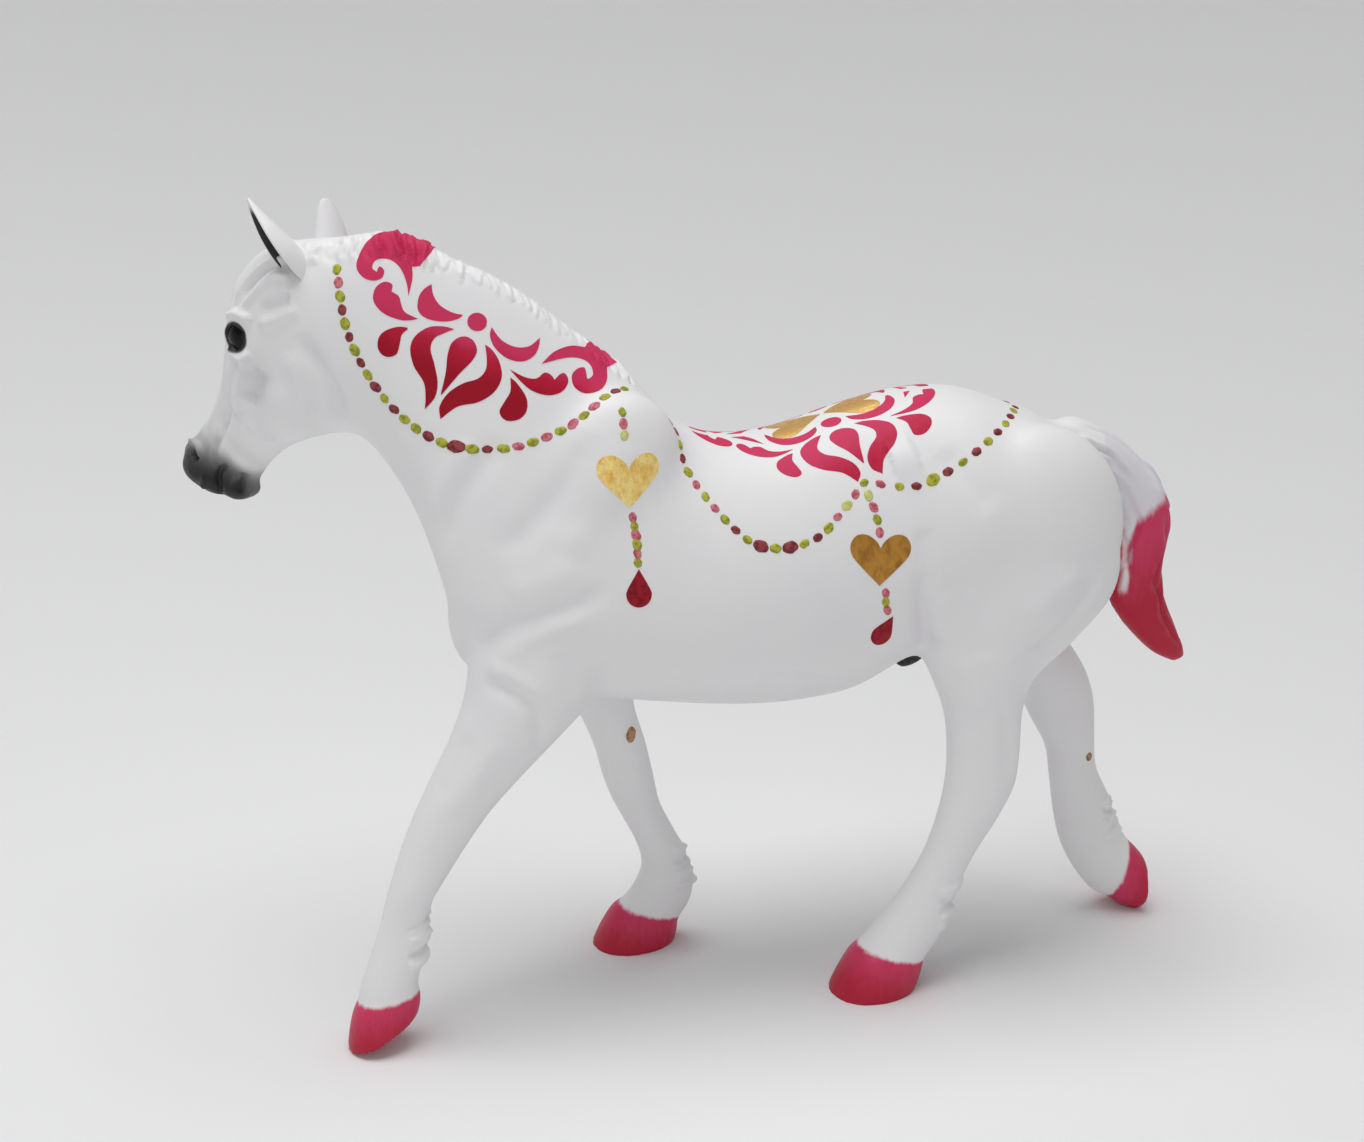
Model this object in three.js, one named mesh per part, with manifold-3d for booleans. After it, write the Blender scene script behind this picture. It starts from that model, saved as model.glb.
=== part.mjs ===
// Painted model horse, walking, head turned to its right. Millimetres, +Z up.
// The horse looks along -X, its left (near) side is -Y, and the floor is z = 0.
import * as THREE from 'three';
import { mergeVertices } from 'three/addons/utils/BufferGeometryUtils.js';
import Module from 'manifold-3d';

// ---- driving dimensions ----------------------------------------------------
const WITHERS_HEIGHT = 118;    // floor to the top of the shoulder
const BODY_LENGTH = 133;       // point of shoulder to point of buttock
const BARREL_WIDTH = 46;       // widest place of the trunk
const HEAD_TURN = 36;          // degrees, neck and head turned to the right
const WALL = 1.8;              // wall of the two body shells
const GAP = 0.3;               // play left between neighbouring pieces
const PEG_RADIUS = 1.6;        // locating pegs on the seam
const PEG_LENGTH = 3.2;
const BOSS_RADIUS = 3.4;       // posts that carry the pegs and their sockets
const SPIGOT_RADIUS = 3.0;     // leg spigots
const SPIGOT_LENGTH = 6.5;
const FORE_SPLIT = 57.5;       // height of the joint of each foreleg
const HIND_SPLIT = 62;         // height of the joint of each hindleg
const TAIL_PEG_RADIUS = 1.9;
const EAR_PEG_RADIUS = 0.8;

// the outlines below are drawn for these three sizes
const KZ = WITHERS_HEIGHT / 118;
const KX = BODY_LENGTH / 133;
const KY = BARREL_WIDTH / 46;

const wasm = await Module();
wasm.setup();

// ---- the turn of neck and head ---------------------------------------------
// The horse is drawn straight. In front of TURN_START its middle line bends in plan,
// reaching the full angle at TURN_END. Below the neck the bend fades out with height.
const TURN_START = -18;
const TURN_END = -72;
const TURN_EASE = 1.5;
const CHEST_LOW = 66;
const CHEST_HIGH = 96;

function yawAt(s) {
  const part = THREE.MathUtils.clamp(s / (TURN_START - TURN_END), 0, 1);
  return THREE.MathUtils.degToRad(HEAD_TURN) * part ** TURN_EASE;
}

// middle line of the turned neck, one point per millimetre of length
const turnLine = [{ x: TURN_START, y: 0 }];
for (let s = 0; s < 130; s += 1) {
  const last = turnLine[s];
  const yaw = yawAt(s + 0.5);
  turnLine.push({ x: last.x - Math.cos(yaw), y: last.y + Math.sin(yaw) });
}

function turn(x, y, z) {
  const s = TURN_START - x;
  if (s <= 0) return [x, y, z];
  const step = Math.floor(s);
  const a = turnLine[step];
  const b = turnLine[step + 1];
  const yaw = yawAt(s);
  const lineX = THREE.MathUtils.lerp(a.x, b.x, s - step);
  const lineY = THREE.MathUtils.lerp(a.y, b.y, s - step);
  const weight = THREE.MathUtils.smoothstep(z, CHEST_LOW, CHEST_HIGH);
  const turnedX = lineX + y * Math.sin(yaw);
  const turnedY = lineY + y * Math.cos(yaw);
  return [THREE.MathUtils.lerp(x, turnedX, weight), THREE.MathUtils.lerp(y, turnedY, weight), z];
}

// drawn point of the trunk, neck or head -> point of the finished horse
function place(x, y, z) {
  const [px, py, pz] = turn(x, y, z);
  return new THREE.Vector3(px * KX, py * KY, pz * KZ);
}

// drawn point of a leg or the tail, which the turn does not reach
function placeStraight(x, y, z) {
  return new THREE.Vector3(x * KX, y * KY, z * KZ);
}

// ---- solids from three.js geometry -----------------------------------------
function solid(geometry) {
  const clean = geometry.clone();
  clean.deleteAttribute('normal');
  clean.deleteAttribute('uv');
  const merged = mergeVertices(clean, 1e-5);
  return new wasm.Manifold(new wasm.Mesh({
    numProp: 3,
    vertProperties: Float32Array.from(merged.attributes.position.array),
    triVerts: Uint32Array.from(merged.index.array),
  }));
}

// A body drawn by stations. Each station is an egg-shaped ring between a point a (top or front)
// and a point b (bottom or back) in the XZ plane:
// [ax, az, bx, bz, middle y, half width, egg, taper]
function loft(stations, { grow = 0, rings = 24, points = 16, put = placeStraight } = {}) {
  const column = (pick) => new THREE.CatmullRomCurve3(stations.map(pick), false, 'catmullrom', 0.5);
  const frontLine = column((s) => new THREE.Vector3(s[0], 0, s[1]));
  const backLine = column((s) => new THREE.Vector3(s[2], 0, s[3]));
  const sizeLine = column((s) => new THREE.Vector3(s[4], s[5], 0));
  const formLine = column((s) => new THREE.Vector3(s[6] ?? 0, s[7] ?? 0, 0));
  const positions = [];
  for (let i = 0; i <= rings; i += 1) {
    const t = i / rings;
    const a = frontLine.getPoint(t);
    const b = backLine.getPoint(t);
    const size = sizeLine.getPoint(t);
    const form = formLine.getPoint(t);
    const middle = a.clone().add(b).multiplyScalar(0.5);
    const half = a.clone().sub(b).multiplyScalar(0.5);
    half.multiplyScalar((half.length() + grow) / half.length());
    // the two end rings also move out by the same amount
    if (i === 0 || i === rings) {
      const other = i === 0 ? 1 / rings : 1 - 1 / rings;
      const inward = frontLine.getPoint(other).add(backLine.getPoint(other)).multiplyScalar(0.5);
      middle.addScaledVector(middle.clone().sub(inward).normalize(), grow);
    }
    for (let j = 0; j < points; j += 1) {
      const angle = (j / points) * Math.PI * 2;
      const across = Math.cos(angle);
      const along = Math.sin(angle) + form.x * across * across;
      const y = size.x + (size.y + grow) * across * (1 - form.y * along);
      const p = put(middle.x + half.x * along, y, middle.z + half.z * along);
      positions.push(p.x, p.y, p.z);
    }
  }
  const index = [];
  for (let i = 0; i < rings; i += 1) {
    for (let j = 0; j < points; j += 1) {
      const k = (j + 1) % points;
      const p = i * points;
      const q = p + points;
      index.push(p + j, p + k, q + k, p + j, q + k, q + j);
    }
  }
  for (let j = 1; j < points - 1; j += 1) {
    const q = rings * points;
    index.push(0, j + 1, j, q, q + j, q + j + 1);
  }
  const geometry = new THREE.BufferGeometry();
  geometry.setAttribute('position', new THREE.Float32BufferAttribute(positions, 3));
  geometry.setIndex(index);
  const body = solid(geometry);
  if (body.volume() > 0) return body;
  // rings listed the other way round: turn the faces to look out
  geometry.setIndex(index.map((_, n) => index[n - (n % 3) + (2 - (n % 3))]));
  return solid(geometry);
}

// round rod between two points
function rod(from, to, radius, sides = 12) {
  const axis = to.clone().sub(from);
  const geometry = new THREE.CylinderGeometry(radius, radius, axis.length(), sides);
  const facing = new THREE.Quaternion().setFromUnitVectors(new THREE.Vector3(0, 1, 0), axis.clone().normalize());
  geometry.applyQuaternion(facing);
  const middle = from.clone().add(to).multiplyScalar(0.5);
  geometry.translate(middle.x, middle.y, middle.z);
  return solid(geometry);
}

function ball(centre, radius) {
  const geometry = new THREE.SphereGeometry(radius, 10, 6);
  geometry.translate(centre.x, centre.y, centre.z);
  return solid(geometry);
}

// block between two heights, large enough to hold the whole horse
function slab(low, high) {
  const geometry = new THREE.BoxGeometry(500, 300, high - low);
  geometry.translate(0, 0, (low + high) / 2);
  return solid(geometry);
}

// everything on the left of the middle sheet, up to an offset from it
function leftOfSeam(offset) {
  const depth = 34;
  const geometry = new THREE.BoxGeometry(232, depth, 190, 29, 1, 10);
  geometry.translate(-8, -depth / 2, 90);
  const position = geometry.attributes.position;
  for (let i = 0; i < position.count; i += 1) {
    const y = position.getY(i) > -1 ? offset : position.getY(i);
    const p = place(position.getX(i), y, position.getZ(i));
    position.setXYZ(i, p.x, p.y, p.z);
  }
  return solid(geometry);
}

// ---- stations ---------------------------------------------------------------
// trunk, neck and head, from the buttocks forward to the lips: top point, bottom point
const TRUNK = [
  [85.2, 98, 84.6, 88, 0, 5, 0, 0],
  [83.6, 102.5, 82.2, 79.5, 0, 12.5, 0, 0],
  [80.6, 107.6, 78, 74, 0, 17.5, 0.05, 0],
  [73.8, 112.6, 72, 71.5, 0, 20.5, 0.05, 0.04],
  [64, 117.2, 62, 71, 0, 22.4, 0, 0.06],
  [53, 120.8, 52, 70.2, 0, 23, 0, 0.08],
  [42, 120.8, 42, 66.4, 0, 22.2, -0.05, 0.08],
  [30, 118.2, 31, 61.0, 0, 22.2, -0.1, 0.06],
  [16, 114, 18, 59.3, 0, 23, -0.1, 0.04],
  [4, 113.6, 6, 59.6, 0, 22.8, -0.1, 0.06],
  [-4, 117.4, -6, 61, 0, 21.4, -0.15, 0.12],
  [-13, 127, -19, 62.8, 0, 20.4, -0.2, 0.22],
  [-22.5, 134.4, -32, 64.2, 0, 19.4, -0.25, 0.3],
  [-31, 141, -41.5, 68.4, 0, 17.4, -0.25, 0.32],
  [-38, 145.2, -46, 78.5, 0, 14.4, -0.2, 0.32],
  [-44.4, 148, -48.6, 90, 0, 11.8, -0.15, 0.3],
  [-51.5, 151.8, -52, 100, 0, 10, -0.1, 0.3],
  [-58, 152.6, -56.8, 108.4, 0, 9, 0, 0.25],
  [-66, 151.4, -61.6, 113, 0, 8.6, 0, 0.15],
  [-75, 150.8, -66.5, 113.8, 0, 9, 0, 0],
  [-84, 146.6, -71.5, 113, 0, 9.8, 0, -0.05],
  [-89.6, 139.4, -76.5, 111.4, 0, 9.8, 0.1, 0],
  [-91.6, 130.6, -81.5, 109.2, 0, 8.7, 0.1, 0.08],
  [-93.8, 123.6, -85.6, 105.8, 0, 7.2, 0, 0.1],
  [-96.8, 117, -88.4, 102.2, 0, 6.2, 0, 0.05],
  [-100.6, 112, -91.6, 99.8, 0, 5.8, 0, 0],
  [-103.4, 108.6, -96.4, 99.4, 0, 5.3, 0, 0],
  [-104.6, 105.6, -101.4, 101.6, 0, 3.2, 0, 0],
];

// legs, from inside the trunk down to the sole: front point, back point
const LEGS = {
  left_foreleg: {
    split: FORE_SPLIT,
    rows: [
      [-35, 99, -10, 97, -8.4, 7],
      [-40.6, 88, -12.6, 86, -10.4, 8],
      [-44, 77, -16, 75, -12, 8.5],
      [-46, 68.5, -22, 66, -13, 8.4],
      [-49, 60.6, -29, 59, -14, 7.4],
      [-53, 53, -35.5, 52.8, -14.8, 6.3],
      [-57, 45, -42, 46, -15.4, 5.6],
      [-59.6, 38.5, -47.5, 38.5, -15.8, 5.2],
      [-61.2, 32, -51.8, 32, -16.2, 5],
      [-63.6, 25.5, -54.2, 26.5, -16.6, 4.5],
      [-65.5, 19.5, -55, 21, -17, 4.5],
      [-67.8, 13.4, -56.2, 15.8, -17.4, 4.9],
      [-69, 9, -56.4, 12.4, -17.6, 5.4],
      [-71, -0.6, -57.4, 6.2, -17.6, 6.6],
    ],
  },
  right_foreleg: {
    split: FORE_SPLIT,
    rows: [
      [-30, 99, -9, 98, 8.4, 7],
      [-32.6, 88, -8, 87, 10.4, 8],
      [-34, 77, -7, 76, 12, 8.5],
      [-30, 67, -6.5, 66, 13, 8.4],
      [-25, 60, -8, 60, 14, 7.2],
      [-20.5, 53.3, -8.8, 54.5, 14.6, 6],
      [-17.2, 45.4, -6.3, 45.6, 15, 5.4],
      [-15, 36.5, -4.2, 36, 15, 5.2],
      [-12.6, 31, -2.4, 29.5, 15, 4.7],
      [-9.8, 25.6, 0.4, 23.8, 15, 4.2],
      [-7.6, 20.4, 3.2, 17.8, 15, 4.4],
      [-7.8, 14.4, 3.8, 11.4, 15, 5],
      [-12.4, 8.6, 1.2, 5.6, 15, 6],
      [-18.2, 0, -0.4, 0, 15, 7.4],
    ],
  },
  left_hindleg: {
    split: HIND_SPLIT,
    rows: [
      [44, 102, 77, 104, -11, 8.6],
      [41, 90, 83.6, 92, -12.4, 9.8],
      [41, 79, 83, 81.6, -13.4, 9.6],
      [43.2, 71, 75, 72.4, -14, 8.6],
      [46, 64.5, 67, 65.4, -14.6, 7.3],
      [48.3, 58, 64.2, 58, -15, 6.3],
      [49, 50.6, 64, 49.4, -15.4, 5.5],
      [48.8, 43.5, 63.3, 42.5, -15.4, 5.2],
      [47.2, 35.5, 60.2, 36, -15.4, 5],
      [44.5, 28, 56, 29, -15.4, 4.4],
      [40.5, 21, 52.6, 21.8, -15.4, 4.3],
      [36.4, 15.4, 51, 15.4, -15.4, 5],
      [31.4, 9.4, 47.4, 7.6, -15.4, 6.2],
      [25.6, 0, 43.6, 0, -15.4, 7.7],
    ],
  },
  right_hindleg: {
    split: HIND_SPLIT,
    rows: [
      [49, 102, 77, 104, 11, 8.6],
      [48, 90, 83.6, 92, 12.4, 9.8],
      [52, 78, 84.6, 83, 13.2, 9.4],
      [60, 68, 84.6, 73, 13.6, 8.2],
      [67.4, 59, 84.8, 64.5, 13.4, 6.8],
      [74.4, 52, 89.8, 56, 13, 5.8],
      [78.4, 44.6, 92.2, 48.9, 12.6, 5.2],
      [81.8, 38.2, 92.6, 41.4, 12, 4.9],
      [82.8, 31, 93.2, 33.6, 11.2, 4.4],
      [83.9, 23, 96.2, 27, 10.6, 4.3],
      [85.8, 16, 98.6, 20.6, 10.2, 4.9],
      [89.6, 8.6, 100.2, 16.8, 10, 5.6],
      [96, 2.6, 102, 14.8, 9.8, 6.1],
      [103.4, -0.6, 105, 10.8, 9.8, 6.4],
    ],
  },
};

// tail: outer point, inner point
const TAIL = [
  [74.4, 113.4, 74, 109, 0, 3],
  [80, 113, 79, 105.5, 0, 4.2],
  [87, 110, 82.6, 101, 0, 5],
  [94, 104.5, 86, 95.5, 0, 5.4],
  [99, 98, 88, 89.5, 0, 5.8],
  [100.4, 89.4, 87.5, 84, 0, 6],
  [99.7, 81.6, 87.3, 78.5, 0, 5.8],
  [101, 74.5, 89.5, 73, 0, 5.2],
  [103.4, 69, 94, 67.5, 0, 4.2],
  [105.8, 64, 99, 62.8, 0, 3],
  [106.8, 61.3, 104, 60.2, 0, 1.4],
];

// ears: front edge point, back edge point, from the root up to the tip
const EARS = {
  left_ear: {
    side: -1,
    rows: [
      [-75.4, 142, -68.6, 147, -5, 2.4],
      [-76.6, 145.6, -69.6, 150.4, -5.6, 2.6],
      [-78.4, 149, -71.4, 153, -6.2, 3],
      [-79.8, 152.6, -74.2, 155.4, -6.8, 2.6],
      [-80.6, 155.8, -77.4, 157.2, -7.2, 1.6],
      [-80.8, 158, -79.8, 158.4, -7.4, 0.5],
    ],
  },
  right_ear: {
    side: 1,
    rows: [
      [-75.2, 143.6, -68, 144.6, 5, 2.4],
      [-75.6, 147.6, -68, 148.6, 5.6, 2.6],
      [-75.8, 151, -68.4, 151.6, 6.2, 3],
      [-75.2, 154.2, -69.6, 154.8, 6.8, 2.6],
      [-74, 157, -70.8, 157.4, 7.2, 1.6],
      [-72.8, 159, -71.8, 159.2, 7.4, 0.5],
    ],
  },
};

// ---- body shells --------------------------------------------------------------
const trunkOptions = { rings: 38, points: 22, put: place };
const trunk = loft(TRUNK, trunkOptions);
const trunkWithPlay = loft(TRUNK, { ...trunkOptions, grow: GAP });
const legOptions = { rings: 20, points: 14 };
const above = (height) => slab(height * KZ + GAP / 2, 400);
const below = (height) => slab(0, height * KZ - GAP / 2);

const legTops = {};
let body = trunk;
let bodyWithPlay = trunkWithPlay;
let cavity = loft(TRUNK.slice(1, -3), { rings: 20, points: 14, put: place, grow: -WALL });
for (const [name, leg] of Object.entries(LEGS)) {
  const top = loft(leg.rows, legOptions).intersect(above(leg.split));
  legTops[name] = top;
  body = body.add(top);
  bodyWithPlay = bodyWithPlay.add(loft(leg.rows, { ...legOptions, grow: GAP }).intersect(above(leg.split)));
  // the root of each leg stays solid around its socket
  cavity = cavity.subtract(top.intersect(slab(0, leg.split * KZ + SPIGOT_LENGTH + 4)));
}
let shell = body.subtract(cavity);

// posts along the seam: x, z of each
const POSTS = [[64, 104], [20, 100], [-14, 92], [-50, 128]];
for (const [x, z] of POSTS) {
  const post = rod(place(x, -26, z), place(x, 26, z), BOSS_RADIUS);
  shell = shell.add(post.intersect(body));
}

// blocks that hold the pegs of tail and ears
const tailPegStart = placeStraight(86, 0, 106.6);
const tailPegEnd = placeStraight(70.5, 0, 109.8);
const overshoot = (from, to, extra) => to.clone().add(to.clone().sub(from).normalize().multiplyScalar(extra));
shell = shell.add(rod(tailPegStart, overshoot(tailPegStart, tailPegEnd, 2.5), TAIL_PEG_RADIUS + 2.2).intersect(body));

const earRoots = {
  left_ear: [place(-74.6, -6.2, 150.4), place(-72.2, -4.6, 144.6)],
  right_ear: [place(-72, 6.2, 151), place(-71.6, 4.6, 144.6)],
};
for (const [, end] of Object.values(earRoots)) {
  shell = shell.add(ball(end, EAR_PEG_RADIUS + 3).intersect(body));
}

// sockets
const hole = (from, to, radius) => rod(from, to, radius + GAP / 2);
shell = shell.subtract(hole(tailPegStart, overshoot(tailPegStart, tailPegEnd, GAP), TAIL_PEG_RADIUS));
for (const [root, end] of Object.values(earRoots)) {
  shell = shell.subtract(hole(root, overshoot(root, end, GAP), EAR_PEG_RADIUS));
}

const spigots = {};
for (const [name, leg] of Object.entries(LEGS)) {
  // middle of the leg just below and above its joint
  const rows = leg.rows;
  const next = rows.findIndex((row) => row[1] + row[3] < leg.split * 2);
  const middleOf = (row) => placeStraight((row[0] + row[2]) / 2, row[4], (row[1] + row[3]) / 2);
  const low = middleOf(rows[next]);
  const high = middleOf(rows[next - 1]);
  const part = (leg.split * KZ - low.z) / (high.z - low.z);
  const middle = low.clone().lerp(high, part);
  const along = high.clone().sub(low).normalize();
  const bottom = middle.clone().addScaledVector(along, -3);
  const top = middle.clone().addScaledVector(along, SPIGOT_LENGTH);
  spigots[name] = rod(bottom, top, SPIGOT_RADIUS);
  shell = shell.subtract(hole(bottom, overshoot(bottom, top, GAP), SPIGOT_RADIUS));
}

const pegFrom = (x, z) => place(x, -6, z);
const pegTo = (x, z) => place(x, PEG_LENGTH, z);
let leftShell = shell.intersect(leftOfSeam(-GAP / 2));
let rightShell = shell.subtract(leftOfSeam(GAP / 2));
for (const [x, z] of POSTS) {
  leftShell = leftShell.add(rod(pegFrom(x, z), pegTo(x, z), PEG_RADIUS));
  rightShell = rightShell.subtract(hole(pegFrom(x, z), overshoot(pegFrom(x, z), pegTo(x, z), GAP), PEG_RADIUS));
}

// ---- legs ---------------------------------------------------------------------
const legs = {};
for (const [name, leg] of Object.entries(LEGS)) {
  legs[name] = loft(leg.rows, legOptions).intersect(below(leg.split)).add(spigots[name]);
}

// ---- tail and ears --------------------------------------------------------------
const tail = loft(TAIL, { rings: 18, points: 12 })
  .subtract(bodyWithPlay)
  .add(rod(tailPegEnd, tailPegStart, TAIL_PEG_RADIUS));

const ears = {};
for (const [name, ear] of Object.entries(EARS)) {
  const leaf = loft(ear.rows, { rings: 6, points: 10, put: place });
  // hollow of the ear: the same leaf, thinner, moved forward and outward
  const hollowRows = ear.rows.slice(2).map((row) => [
    row[0] - 1.2, row[1] + 0.2, row[2] - 1.8, row[3] - 0.4, row[4] + ear.side * 1.3, row[5] * 0.72,
  ]);
  const hollow = loft(hollowRows, { rings: 6, points: 8, put: place });
  const [root, end] = earRoots[name];
  ears[name] = leaf.subtract(hollow).subtract(bodyWithPlay).add(rod(end, root, EAR_PEG_RADIUS, 10));
}

// ---- the finished group ------------------------------------------------------------
const PAINT = {
  left_body_shell: 0xf2efef,
  right_body_shell: 0xefedee,
  left_foreleg: 0xeceaec,
  right_foreleg: 0xe9e7ea,
  left_hindleg: 0xecebec,
  right_hindleg: 0xe8e6e9,
  tail: 0xa8243c,
  left_ear: 0xf1eeee,
  right_ear: 0xeeebed,
};
const PIECES = {
  left_body_shell: leftShell,
  right_body_shell: rightShell,
  ...legs,
  tail,
  ...ears,
};

const group = new THREE.Group();
group.name = 'dala_horse';
for (const [name, piece] of Object.entries(PIECES)) {
  const mesh = piece.getMesh();
  const geometry = new THREE.BufferGeometry();
  geometry.setAttribute('position', new THREE.BufferAttribute(Float32Array.from(mesh.vertProperties), 3));
  geometry.setIndex(new THREE.BufferAttribute(Uint32Array.from(mesh.triVerts), 1));
  geometry.computeVertexNormals();
  const material = new THREE.MeshStandardMaterial({ color: PAINT[name], roughness: 0.45, metalness: 0 });
  const part = new THREE.Mesh(geometry, material);
  part.name = name;
  group.add(part);
}

// origin: middle of the box around the horse, on the floor
const box = new THREE.Box3().setFromObject(group);
const centre = box.getCenter(new THREE.Vector3());
for (const part of group.children) {
  part.geometry.translate(-centre.x, -centre.y, -box.min.z);
}

export default group;
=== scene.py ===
import math

import bpy
import numpy as np
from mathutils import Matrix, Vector
from mathutils.bvhtree import BVHTree


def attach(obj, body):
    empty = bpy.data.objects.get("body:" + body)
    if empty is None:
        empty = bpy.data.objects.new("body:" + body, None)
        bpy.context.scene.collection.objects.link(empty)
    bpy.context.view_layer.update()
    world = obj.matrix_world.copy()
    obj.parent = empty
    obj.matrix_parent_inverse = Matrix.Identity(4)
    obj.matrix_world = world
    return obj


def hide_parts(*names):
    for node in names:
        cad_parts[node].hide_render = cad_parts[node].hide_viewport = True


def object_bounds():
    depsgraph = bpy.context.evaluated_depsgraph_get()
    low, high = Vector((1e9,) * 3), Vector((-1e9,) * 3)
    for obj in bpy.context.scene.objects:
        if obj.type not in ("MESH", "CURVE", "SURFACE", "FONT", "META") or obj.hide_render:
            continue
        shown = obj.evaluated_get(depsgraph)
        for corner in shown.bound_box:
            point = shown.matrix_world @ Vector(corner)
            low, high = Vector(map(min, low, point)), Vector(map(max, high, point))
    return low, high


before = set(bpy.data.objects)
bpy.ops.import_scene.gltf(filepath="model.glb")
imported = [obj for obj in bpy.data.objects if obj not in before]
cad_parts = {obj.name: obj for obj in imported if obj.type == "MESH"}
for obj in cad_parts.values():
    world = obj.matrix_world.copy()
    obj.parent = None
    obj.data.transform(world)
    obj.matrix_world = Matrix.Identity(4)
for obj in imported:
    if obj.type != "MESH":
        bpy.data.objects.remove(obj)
cad_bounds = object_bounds()

MM = 0.001                                   # the horse is drawn in millimetres
FINE_GRAIN = 0.55                            # the grain for which the smoothing was tuned
SHIFT = np.array([-4.751, -5.08, 0.0])       # from the drawing's middle line to the middle of the box
VOXEL = 0.6                # grain of the modelled skin

# %% [markdown]
# # The turned neck
# The horse is drawn straight, so left and right can be modelled together. At the very end the
# neck is bent to the horse's right: the angle grows with the distance in front of the withers,
# and fades out below the neck so that chest and forelegs stay where they are.

# %% Bend of neck and head
TURN_START, TURN_END, TURN_DEG, TURN_EASE = -18.0, -72.0, 36.0, 1.5
CHEST_LOW, CHEST_HIGH = 66.0, 96.0
line_s = np.linspace(0.0, 130.0, 1301)
line_yaw = math.radians(TURN_DEG) * np.clip(line_s / (TURN_START - TURN_END), 0, 1) ** TURN_EASE
step = line_s[1] - line_s[0]
line_x = TURN_START - np.concatenate([[0], np.cumsum(np.cos(line_yaw[:-1]) * step)])
line_y = np.concatenate([[0], np.cumsum(np.sin(line_yaw[:-1]) * step)])


def smoothstep(value, low, high):
    t = np.clip((value - low) / (high - low), 0, 1)
    return t * t * (3 - 2 * t)


def turned(points):
    """Drawn points of trunk, neck and head -> points of the horse with its head turned."""
    out = points.copy()
    s = TURN_START - points[:, 0]
    ahead = s > 0
    x = np.interp(s, line_s, line_x)
    y = np.interp(s, line_s, line_y)
    yaw = np.interp(s, line_s, line_yaw)
    weight = smoothstep(points[:, 2], CHEST_LOW, CHEST_HIGH) * ahead
    out[:, 0] += weight * (x + points[:, 1] * np.sin(yaw) - points[:, 0])
    out[:, 1] += weight * (y + points[:, 1] * np.cos(yaw) - points[:, 1])
    return out


NOSE_WAY = 87.0                              # from the withers to the nose, along the bent neck
print("the nose turns aside by", round(float(np.interp(NOSE_WAY, line_s, line_y)), 1), "mm")

# %% [markdown]
# # Stations
# Trunk, neck and legs are drawn like a ship's hull: rings between a top (or front) point and a
# bottom (or back) point, each with a half width. A smooth curve through the stations gives as
# many rings as the surface needs. An egg value moves the widest place up or down, a taper value
# makes the top narrower than the bottom.

# %% Stations of the trunk: top x, z, bottom x, z, middle y, half width, egg, taper
TRUNK = [
    (85.2, 98, 84.6, 88, 0, 5, 0, 0),
    (83.6, 102.5, 82.2, 79.5, 0, 12.5, 0, 0),
    (80.6, 107.6, 78, 74, 0, 17.5, 0.05, 0),
    (73.8, 112.6, 72, 71.5, 0, 20.5, 0.05, 0.04),
    (64, 117.2, 62, 71, 0, 22.0, 0, 0.06),
    (53, 120.8, 52, 70.2, 0, 22.4, 0, 0.08),
    (42, 120.8, 42, 66.4, 0, 21.6, -0.05, 0.08),
    (30, 118.2, 31, 61.0, 0, 22.0, -0.1, 0.06),
    (16, 114, 18, 59.3, 0, 22.8, -0.1, 0.04),
    (4, 113.6, 6, 59.6, 0, 22.4, -0.1, 0.06),
    (-4, 117.4, -6, 61, 0, 20.8, -0.15, 0.12),
    (-13, 127, -19, 62.8, 0, 19.4, -0.2, 0.22),
    (-22.5, 134.4, -32, 64.2, 0, 18.0, -0.25, 0.3),
    (-31, 141, -41.5, 68.4, 0, 16.0, -0.25, 0.32),
    (-38, 145.2, -46, 78.5, 0, 13.6, -0.2, 0.32),
    (-44.4, 148, -48.6, 90, 0, 11.4, -0.15, 0.3),
    (-51.5, 151.8, -52, 100, 0, 9.8, -0.1, 0.3),
    (-58, 152.6, -56.8, 108.4, 0, 8.9, 0, 0.25),
    (-66, 151.4, -61.6, 113.6, 0, 8.4, 0, 0.15),
    (-75, 150.4, -66.5, 114.6, 0, 8.6, 0, 0),
    (-83.4, 146.4, -71.5, 113.6, 0, 8.8, 0, -0.05),
    (-88.6, 139.4, -76.5, 112.0, 0, 8.6, 0.1, 0),
    (-90.8, 131.0, -81.0, 109.8, 0, 7.6, 0.1, 0.08),
    (-93.0, 124.0, -85.0, 106.6, 0, 6.2, 0, 0.1),
    (-96.2, 117.2, -88.0, 103.0, 0, 5.4, 0, 0.05),
    (-100.0, 112.2, -91.2, 100.4, 0, 5.2, 0, 0),
    (-103.0, 108.8, -96.2, 99.8, 0, 4.9, 0, 0),
    (-104.4, 105.8, -101.2, 101.6, 0, 3.0, 0, 0),
]

# %% Stations of the legs: front x, z, back x, z, middle y, half width
LEFT_FORELEG = [
    (-35, 99, -10, 97, -8.4, 7), (-40.6, 88, -12.6, 86, -10.4, 8), (-44, 77, -16, 75, -12, 8.5),
    (-46, 68.5, -22, 66, -13, 8.4), (-49, 60.6, -29, 59, -14, 7.4), (-53, 53, -35.5, 52.8, -14.8, 6.3),
    (-57, 45, -42, 46, -15.4, 5.4), (-59.6, 38.5, -47.5, 38.5, -15.8, 5.0),
    (-61.4, 33, -51.4, 32.6, -16.1, 5.0), (-62.8, 28.5, -53.6, 29, -16.4, 4.4),
    (-64.2, 23.6, -54.6, 24.4, -16.8, 4.0), (-65.9, 18.6, -54.8, 20.4, -17.1, 4.4),
    (-67.8, 13.4, -56.4, 15.8, -17.4, 4.7), (-68.6, 10.2, -57.0, 13.2, -17.5, 4.9),
    (-69.4, 7, -58, 10, -17.6, 4.6),
]
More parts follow.
